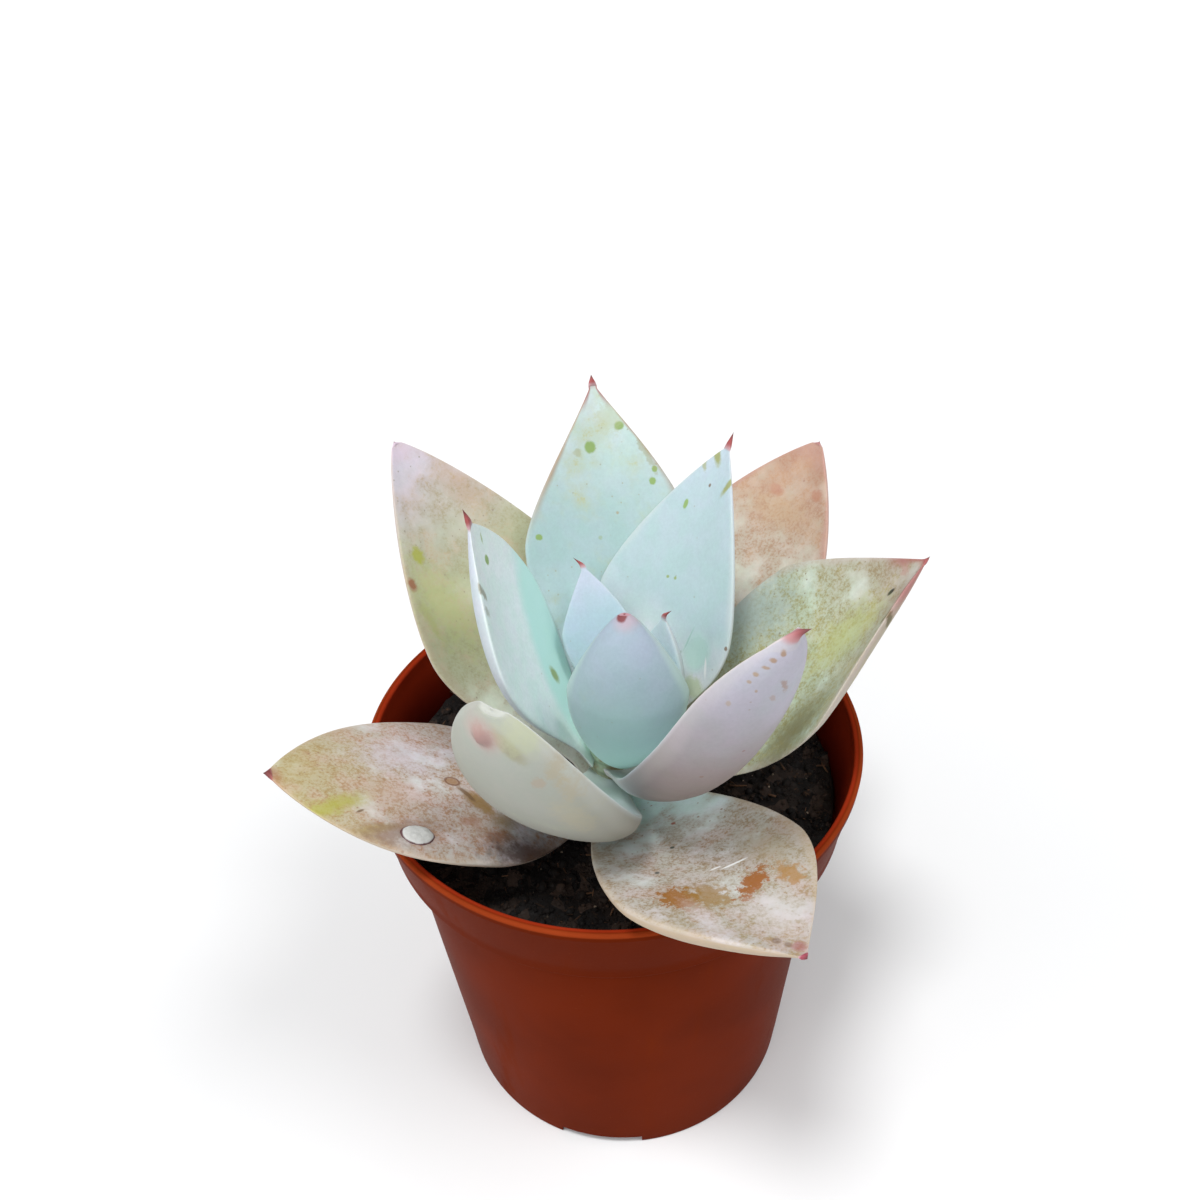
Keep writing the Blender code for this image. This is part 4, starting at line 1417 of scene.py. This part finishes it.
@dataclass
class Soil:
    """The soil ball, with crumbs, fibres and grit scattered on its top."""

    effects: Effects
    top_radius: float = 38.6 * MM
    wall_z: float = 67.0 * MM
    centre_z: float = 63.4 * MM
    dip_radius: float = 28.0 * MM
    side: tuple[Spread, ...] = (
        (30.7 * MM, 3.5 * MM),
        (35.8 * MM, 61.5 * MM),
        (38.3 * MM, 65.1 * MM),
    )
    lumps: tuple[Spread, ...] = ((9.0, 0.9), (3.2, 0.7), (1.1, 0.35))  # widths and heights in mm
    rings: int = 90
    segments: int = 180

    def level(self, x: float, y: float) -> float:
        """Returns the height of the uneven top at a place."""
        share = min((x * x + y * y) ** 0.5 / self.dip_radius, 1.0)
        height = self.centre_z + (self.wall_z - self.centre_z) * share**2
        spot = Vector((x, y, 0.0))
        for wide, high in self.lumps:
            height += noise.noise(spot / (wide * MM)) * high * MM
        return height

    def build(self) -> None:
        """Builds the soil ball and what lies on it."""
        above = self.wall_z + 5 * MM  # anywhere over the wall, until shift lays it on the level
        rings = [self.top_radius * (1 - i / self.rings) for i in range(self.rings)]
        profile = [(0.0, self.side[0][1]), *self.side, (self.top_radius, self.wall_z - 0.6 * MM)]
        profile += [(radius, above) for radius in rings[1:]] + [(0.0, above)]

        def shift(point: Vector) -> Vector:
            if point.z < self.wall_z:
                return point
            return Vector((point.x, point.y, self.level(point.x, point.y)))

        material = self.material("peat_bed", 0.35)
        bed = turned_piece("soil_bed", profile, self.segments, material, shift, sharp=180.0)
        settle(bed, Slot.SOIL, "soil")
        crumbs = self.material("peat_crumb", 0.75)
        fibre = self.plain_material("bark_fibre", (0.085, 0.045, 0.024), 0.8)
        grit = self.plain_material("grit", (0.20, 0.16, 0.12), 0.6)
        for name, *grains in (
            # name, count, size, spread, stretch, material and seed
            ("coarse_crumbs", 620, 2.0 * MM, (0.5, 1.3), (1.0, 0.85, 0.7), crumbs, 3),
            ("fine_crumbs", 3600, 0.8 * MM, (0.4, 1.3), (1.0, 0.9, 0.8), crumbs, 8),
            ("bark_fibres", 210, 0.42 * MM, (0.5, 1.2), (9.0, 1.0, 0.8), fibre, 21),
            ("grit_grains", 90, 0.55 * MM, (0.5, 1.2), (1.0, 0.9, 0.9), grit, 34),
        ):
            grown = Scatter(bed, *grains).build(name, self.top_radius - 0.8 * MM)
            settle(grown, Slot.SOIL)

    def material(self, name: str, brown: float) -> bpy.types.Material:
        """Builds a peat material.

        Args:
            name: Its name.
            brown: How much brown fibre shows in it.

        Returns:
            The material.
        """
        w = Finish(name, 0.9, 0.3)
        peat = w.use(self.effects.peat, Place=w.place, Brown=brown)
        w.bump(peat["Height"], 0.4 * MM, 0.6)
        return w.dress(peat["Color"], peat["Roughness"])

    def plain_material(self, name: str, colour: Colour, roughness: float) -> bpy.types.Material:
        """Builds the material of a fibre or a grain, whose tone varies from one to the next.

        Args:
            name: Its name.
            colour: Its middle colour.
            roughness: Its roughness.

        Returns:
            The material.
        """
        w = Finish(name, roughness, 0.3)
        tone = w.noise(w.place, 6 * MM, detail=2.0)
        dark = tuple(value * 0.25 for value in colour)
        pale = tuple(min(1.0, value * 1.9) for value in colour)
        w.bump(w.noise(w.place, 0.4 * MM), 0.1 * MM, 0.4)
        return w.dress(w.mix(w.step(tone, 0.35, 0.65), dark, pale))


@dataclass
class Scatter:
    """Grains scattered over a piece's upward faces by Geometry Nodes."""

    ground: bpy.types.Object
    count: int
    size: float
    spread: Spread
    stretch: tuple[float, float, float]
    material: bpy.types.Material
    seed: int

    def tree(self) -> bpy.types.NodeTree:
        """Builds the tree: points on the ground, a lumpy grain on each, made real and painted."""
        w, given = new_group(
            "scatter_grains",
            Plug("Geometry", "Geometry"),
            Plug("Density"),
            Plug("Grain Size"),
            Plug("Smallest"),
            Plug("Largest"),
            Plug("Stretch", "Vector"),
            Plug("Reach"),
            Plug("Seed", "Int"),
            Plug("Material", "Material"),
            outputs=(Plug("Geometry", "Geometry"),),
            kind="GeometryNodeTree",
        )
        normal = w.split(w.add("GeometryNodeInputNormal").outputs[0])
        place = w.add("GeometryNodeInputPosition").outputs[0]
        away = w.number("LENGTH", w.vector("MULTIPLY", place, LEVEL))
        tests = (("GREATER_THAN", normal["Z"], 0.3), ("LESS_THAN", away, given["Reach"]))
        on_top, near = (
            w.add("FunctionNodeCompare", {0: a, 1: b}, data_type="FLOAT", operation=kind).outputs[0]
            for kind, a, b in tests
        )
        both = w.add("FunctionNodeBooleanMath", {0: on_top, 1: near}, operation="AND").outputs[0]
        spread = {
            "Mesh": given["Geometry"],
            "Selection": both,
            "Density": given["Density"],
            "Seed": given["Seed"],
        }
        points = w.add("GeometryNodeDistributePointsOnFaces", spread).outputs["Points"]
        sides = {f"Vertices {axis}": 3 for axis in "XYZ"}
        lump = w.add("GeometryNodeMeshCube", sides).outputs["Mesh"]
        ball = w.vector("NORMALIZE", w.add("GeometryNodeInputPosition").outputs[0])
        lumps = w.add("ShaderNodeTexNoise", {"Vector": ball, "Scale": 1.7}).outputs["Fac"]
        ball = w.scaled(ball, w.math("MULTIPLY_ADD", lumps, 0.9, 0.05))
        grain = w.add("GeometryNodeSetPosition", {"Geometry": lump, "Position": ball}).outputs[0]
        turns = {0: (0.0, 0.0, 0.0), 1: (tau / 9, tau / 9, tau), "Seed": given["Seed"]}
        turn = w.add("FunctionNodeRandomValue", turns, data_type="FLOAT_VECTOR").outputs[0]
        sizes = {2: given["Smallest"], 3: given["Largest"], "Seed": given["Seed"]}
        size = w.add("FunctionNodeRandomValue", sizes, data_type="FLOAT").outputs[1]
        each = {
            "Points": points,
            "Instance": grain,
            "Rotation": turn,
            "Scale": w.scaled(given["Stretch"], w.math("MULTIPLY", size, given["Grain Size"])),
        }
        grown = w.add("GeometryNodeInstanceOnPoints", each).outputs["Instances"]
        real = w.add("GeometryNodeRealizeInstances", {"Geometry": grown}).outputs["Geometry"]
        painted = {"Geometry": real, "Material": given["Material"]}
        return w.give(Geometry=w.add("GeometryNodeSetMaterial", painted).outputs["Geometry"])

    def build(self, name: str, reach: float) -> bpy.types.Object:
        """Scatters the grains and makes them a plain mesh.

        Args:
            name: The piece's name.
            reach: The radius that they lie within, in metres.

        Returns:
            The piece.
        """
        tree = bpy.data.node_groups.get("scatter_grains") or self.tree()
        host = bpy.data.objects.new(name + "_host", self.ground.data.copy())
        bpy.context.scene.collection.objects.link(host)
        modifier = host.modifiers.new("scatter", "NODES")
        modifier.node_group = tree
        values = {
            "Density": self.count / (pi * reach**2),
            "Grain Size": self.size,
            "Smallest": self.spread[0],
            "Largest": self.spread[1],
            "Stretch": self.stretch,
            "Reach": reach,
            "Seed": self.seed,
            "Material": self.material,
        }
        for item in tree.interface.items_tree:
            if item.in_out == "INPUT" and item.name in values:
                modifier[item.identifier] = values[item.name]
        found = host.evaluated_get(bpy.context.evaluated_depsgraph_get())
        mesh = bpy.data.meshes.new_from_object(found)
        mesh.name = name
        host.modifiers.clear()
        bpy.data.objects.remove(host, do_unlink=True)
        mesh.shade_smooth()
        piece = bpy.data.objects.new(name, mesh)
        bpy.context.scene.collection.objects.link(piece)
        return piece


@dataclass
class Pot:
    """The thin moulded nursery pot."""

    effects: Effects
    height: float = 78.6 * MM
    rim_radius: float = 42.5 * MM
    lip_width: float = 1.5 * MM
    lip_drop: float = 1.6 * MM
    band_radius: float = 42.2 * MM
    band_bottom: Spread = (39.9 * MM, 65.1 * MM)
    shoulder: Spread = (37.3 * MM, 61.5 * MM)
    foot_radius: float = 31.9 * MM
    wall: float = 1.2 * MM
    foot_ring_width: float = 2.4 * MM
    floor_lift: float = 2.0 * MM
    pad_radius: float = 9.0 * MM
    notch_count: int = 3
    notch_first: float = radians(260)
    notch_size: Spread = (15.4 * MM, 1.9 * MM)
    drain_count: int = 6
    drain_radius: float = 3.5 * MM
    drain_circle: float = 20.0 * MM
    segments: int = 288
    shoulder_steps: int = 14
    # The lip's colour is a painted highlight; the deep and hollow colours are painted shade.
    lip_highlight_colour: Colour = (0.30, 0.046, 0.012)
    wall_colour: Colour = (0.127, 0.0135, 0.0010)
    inner_colour: Colour = (0.30, 0.028, 0.008)
    deep_shade_colour: Colour = (0.08, 0.006, 0.003)
    hollow_shade_colour: Colour = (0.02, 0.003, 0.001)
    dust_colour: Colour = (0.21, 0.038, 0.012)
    edge: float = 0.45 * MM  # how far the moulded edges are rounded

    def shoulder_points(self, wall: float) -> list[Spread]:
        """Returns the hollow curve between the body and the band, moved inwards by a wall."""
        points = []
        for i in range(self.shoulder_steps + 1):
            turn = pi / 2 * i / self.shoulder_steps
            radius = self.band_bottom[0] - (self.band_bottom[0] - self.shoulder[0]) * cos(turn)
            height = self.shoulder[1] + (self.band_bottom[1] - self.shoulder[1]) * sin(turn)
            points.append((radius - wall, height))
        return points

    def arc(
        self, centre: Spread, radius: float, start: float, stop: float, steps: int = 5
    ) -> list[Spread]:
        """Returns an arc's points; the angles are in degrees, from +radius towards +Z."""
        angles = [radians(start + (stop - start) * i / steps) for i in range(steps + 1)]
        return [(centre[0] + radius * cos(a), centre[1] + radius * sin(a)) for a in angles]

    def body_run(self, low: Spread, high: Spread, steps: int = 12) -> list[Spread]:
        """Returns points along a straight wall, so that its faces stay short."""
        return [
            (low[0] + (high[0] - low[0]) * i / steps, low[1] + (high[1] - low[1]) * i / steps)
            for i in range(1, steps)
        ]

    def profile(self) -> list[Spread]:
        """Returns the section from the centre below, round the lip, to the centre of the floor."""
        ring_inner = self.foot_radius - self.foot_ring_width
        pad, lift, top, edge = self.pad_radius, self.floor_lift, self.height, self.edge
        lip_inner = self.rim_radius - self.lip_width
        points = [(0.0, 0.0), (pad - edge, 0.0)]
        points += self.arc((pad - edge, edge), edge, -90, 0)
        points += [(pad + 0.1 * MM, lift - edge), (pad + edge, lift), (ring_inner - edge, lift)]
        points += [(ring_inner - 0.1 * MM, lift - edge), (ring_inner, edge)]
        points += self.arc((ring_inner + edge, edge), edge, 180, 270)
        foot = self.arc((self.foot_radius - edge, edge), edge, -90, 0, 6)
        points += foot
        points += self.body_run(foot[-1], self.shoulder, 24)
        points += self.shoulder_points(0.0)
        band_end = (self.band_radius, top - self.lip_drop)
        corner = (self.band_bottom[0] + 0.02 * MM, self.band_bottom[1] + 0.25 * MM)
        points += self.arc(corner, 0.25 * MM, -60, 0, 3)
        points += self.body_run(self.band_bottom, band_end, 8)
        points += [band_end, (self.rim_radius - 0.1 * MM, top - self.lip_drop + 0.12 * MM)]
        points += self.arc((self.rim_radius - edge, top - edge), edge, 0, 90)
        points += self.arc((lip_inner + edge, top - edge), edge, 90, 180)
        points += [(lip_inner, top - self.lip_drop)]
        inner_top = (self.band_bottom[0] - self.wall, self.band_bottom[1])
        points += self.body_run((lip_inner, top - self.lip_drop), inner_top, 8)
        points += reversed(self.shoulder_points(self.wall))
        floor = lift + self.wall
        share = floor / self.shoulder[1]
        corner = self.foot_radius + (self.shoulder[0] - self.foot_radius) * share - self.wall
        points += [(corner, floor + MM), (corner - MM, floor), (0.0, floor)]
        return points

    def cut_all(self, pot: bpy.types.Object) -> None:
        """Cuts the foot notches and the drainage holes, and applies the cuts."""
        cutters = []
        for i in range(self.notch_count):
            azimuth = self.notch_first + tau * i / self.notch_count
            place = (self.foot_radius * cos(azimuth), self.foot_radius * sin(azimuth), 0.0)
            bpy.ops.mesh.primitive_cube_add(size=1.0, location=place, rotation=(0.0, 0.0, azimuth))
            tool = bpy.context.object
            tool.scale = (4 * self.foot_ring_width, self.notch_size[0], 2 * self.notch_size[1])
            soften = tool.modifiers.new("soften", "BEVEL")
            soften.width = 0.3 * MM
            soften.segments = 3
            cutters.append(tool)
        for i in range(self.drain_count):
            azimuth = self.notch_first + tau * (i + 0.5) / self.drain_count
            x, y = self.drain_circle * cos(azimuth), self.drain_circle * sin(azimuth)
            bpy.ops.mesh.primitive_cylinder_add(
                vertices=40,
                radius=self.drain_radius,
                depth=4 * self.wall,
                location=(x, y, self.floor_lift),
            )
            cutters.append(bpy.context.object)
        for tool in cutters:
            cut = pot.modifiers.new("cut", "BOOLEAN")
            cut.solver = "EXACT"
            cut.object = tool
        found = pot.evaluated_get(bpy.context.evaluated_depsgraph_get())
        mesh = bpy.data.meshes.new_from_object(found)
        pot.modifiers.clear()
        pot.data = mesh
        mesh.shade_smooth()
        mesh.set_sharp_from_angle(angle=radians(38))
        for tool in cutters:
            bpy.data.objects.remove(tool, do_unlink=True)

    def build(self) -> None:
        """Builds the pot."""

        def shift(point: Vector) -> Vector:
            out = Vector((point.x, point.y, 0.0))
            if out.length < 12 * MM or point.z < 3 * MM:
                return point
            sway = noise.noise(point * 22.0) * 0.12 * MM
            return point + out.normalized() * sway

        profile, plastic = self.profile(), self.material()
        pot = turned_piece("nursery_pot", profile, self.segments, plastic, shift, sharp=38.0)
        self.cut_all(pot)
        settle(pot, Slot.POT, "pot")

    def material(self) -> bpy.types.Material:
        """Builds the pot's plastic: a lip with a painted highlight along its top, a browner wall,
        and a red inside and a hollow under the band, both with painted shade.
        """
        w = Finish("terracotta_plastic", 0.4, 0.008)
        w.put(w.shader["Specular Tint"], (1.0, 0.32, 0.12, 1.0))
        foot_radius, foot_z = self.band_bottom
        radius = w.number("LENGTH", w.vector("MULTIPLY", w.place, LEVEL))
        height = w.split(w.place)["Z"]
        rate = (self.band_radius - foot_radius) / (self.height - self.lip_drop - foot_z)
        band = w.math("MULTIPLY_ADD", w.math("SUBTRACT", height, foot_z), rate, foot_radius)
        outside = w.step(w.math("SUBTRACT", radius, band), -1.0 * MM, -0.5 * MM)
        # Painted shade: the inside, and the outer shoulder under the band, run from near black low
        # down to a brighter red at the top.
        inner = w.math("MULTIPLY", w.rest(outside), w.step(height, foot_z - 3 * MM, foot_z))
        depth = w.step(height, foot_z, self.height)
        inside_shading = w.mix(depth, self.deep_shade_colour, self.inner_colour)
        colour = w.mix(inner, self.wall_colour, inside_shading)
        start = self.shoulder[1]
        # Painted shade: the hollow under the band is darkened nearly to black.
        hollow = w.step(height, start - 1.6 * MM, start + 2.2 * MM)
        hollow = w.math("MULTIPLY", hollow, w.rest(w.step(height, 64.8 * MM, 65.3 * MM)))
        colour = w.mix(w.math("MULTIPLY", hollow, 0.75), colour, self.hollow_shade_colour)
        # Painted highlight: a thin band along the top of the lip, by its outer edge, is painted
        # brighter, unevenly.
        lip = w.step(height, self.height - 0.7 * MM, self.height - 0.3 * MM)
        rim = w.step(radius, self.rim_radius - 0.8 * MM, self.rim_radius - 0.4 * MM)
        lip = w.math("MULTIPLY", lip, rim)
        wavy = w.noise(w.place, 7 * MM, detail=3.0)
        colour = w.mix(w.math("MULTIPLY", lip, w.lerp(wavy, 0.7, 1.0)), colour, self.lip_highlight_colour)
        plastic = w.use(self.effects.plastic, Place=w.place, Colour=colour, Dust=self.dust_colour)
        w.bump(plastic["Height"], 0.1 * MM, 0.25)
        return w.dress(plastic["Color"], plastic["Roughness"])


# ---- The studio ----


@dataclass
class Studio:
    """The pale floor, the soft lights and the camera."""

    floor_half: float = 4.0
    floor_colour: Colour = (0.80, 0.81, 0.82)
    sky_strength: float = 0.29
    camera_place: tuple[float, float, float] = (0.0, -0.148988, 0.223958)
    camera_pan: float = radians(-0.3678)
    camera_tilt: float = radians(-38.0814)
    camera_roll: float = radians(-2.8208)
    lens: float = 36.03
    suns: list[tuple] = field(
        default_factory=lambda: [
            ("overhead_left", (-0.18, -0.18, 1.0), 14.0, 1.58, (1.0, 0.995, 0.99)),
            ("overhead_right", (0.5, -0.2, 1.0), 20.0, 0.80, (1.0, 0.995, 0.99)),
            ("front_fill", (-0.3, -1.0, 0.9), 40.0, 0.66, (1.0, 1.0, 1.0)),
            ("left_fill", (-1.0, -0.35, 0.5), 60.0, 1.0, (1.0, 1.0, 1.0)),
            ("right_fill", (1.0, -0.3, 0.6), 60.0, 0.35, (1.0, 1.0, 1.0)),
        ]
    )

    def build(self) -> None:
        """Builds the studio."""
        self.build_floor()
        self.build_sky()
        for name, towards, angle, strength, colour in self.suns:
            self.build_sun(name, Vector(towards), angle, strength, colour)
        self.build_camera()
        bpy.context.scene.view_settings.view_transform = "Standard"

    def build_floor(self) -> None:
        """Builds the floor."""
        half = self.floor_half
        corners = [(x * half, y * half, 0.0) for x, y in ((-1, -1), (1, -1), (1, 1), (-1, 1))]
        w = Finish("studio_floor", 0.9, 0.1)
        tone = w.noise(w.place, 0.4, detail=2.0)
        paler = tuple(min(1.0, value + 0.02) for value in self.floor_colour)
        paint = w.dress(w.mix(tone, self.floor_colour, paler))
        floor = make_piece("studio_floor", corners, [(0, 1, 2, 3)], paint)

    def build_sky(self) -> None:
        """Gives the world an even white light."""
        world = bpy.data.worlds.new("studio_sky")
        world.use_nodes = True
        sky = world.node_tree.nodes["Background"]
        sky.inputs["Color"].default_value = (1.0, 1.0, 1.0, 1.0)
        sky.inputs["Strength"].default_value = self.sky_strength
        bpy.context.scene.world = world

    def build_sun(
        self, name: str, towards: Vector, angle: float, strength: float, colour: Colour
    ) -> None:
        """Builds a soft light that reaches the whole floor alike.

        Args:
            name: Its name.
            towards: The direction that it comes from.
            angle: How wide it looks, in degrees; the wider, the softer its shadows.
            strength: Its strength.
            colour: Its colour.
        """
        data = bpy.data.lights.new(name, "SUN")
        data.angle = radians(angle)
        data.energy = strength
        data.color = colour
        light = bpy.data.objects.new(name, data)
        light.location = towards
        light.rotation_euler = towards.to_track_quat("Z", "Y").to_euler()
        bpy.context.scene.collection.objects.link(light)

    def build_camera(self) -> None:
        """Builds the camera, which looks down on the plant from the front."""
        pan, tilt, roll = self.camera_pan, self.camera_tilt, self.camera_roll
        ahead = Vector((sin(pan) * cos(tilt), cos(pan) * cos(tilt), sin(tilt)))
        level = Vector((cos(pan), -sin(pan), 0.0))
        upright = level.cross(ahead)
        right = level * cos(roll) + upright * sin(roll)
        up = upright * cos(roll) - level * sin(roll)
        data = bpy.data.cameras.new("camera")
        data.sensor_width = 36.0
        data.lens = self.lens
        data.clip_start = 0.01
        camera = bpy.data.objects.new("camera", data)
        turn = Matrix((right, up, -ahead)).transposed().to_4x4()
        camera.matrix_world = Matrix.Translation(Vector(self.camera_place)) @ turn
        bpy.context.scene.collection.objects.link(camera)
        bpy.context.scene.camera = camera


def main() -> None:
    """Builds the plant, its pot and the studio."""
    logging.basicConfig(level=logging.INFO, format="%(message)s")
    effects = Effects()
    Studio().build()
    Pot(effects).build()
    Soil(effects).build()
    Stem().build()
    Rosette(effects).build()


if __name__ == "__main__":
    main()
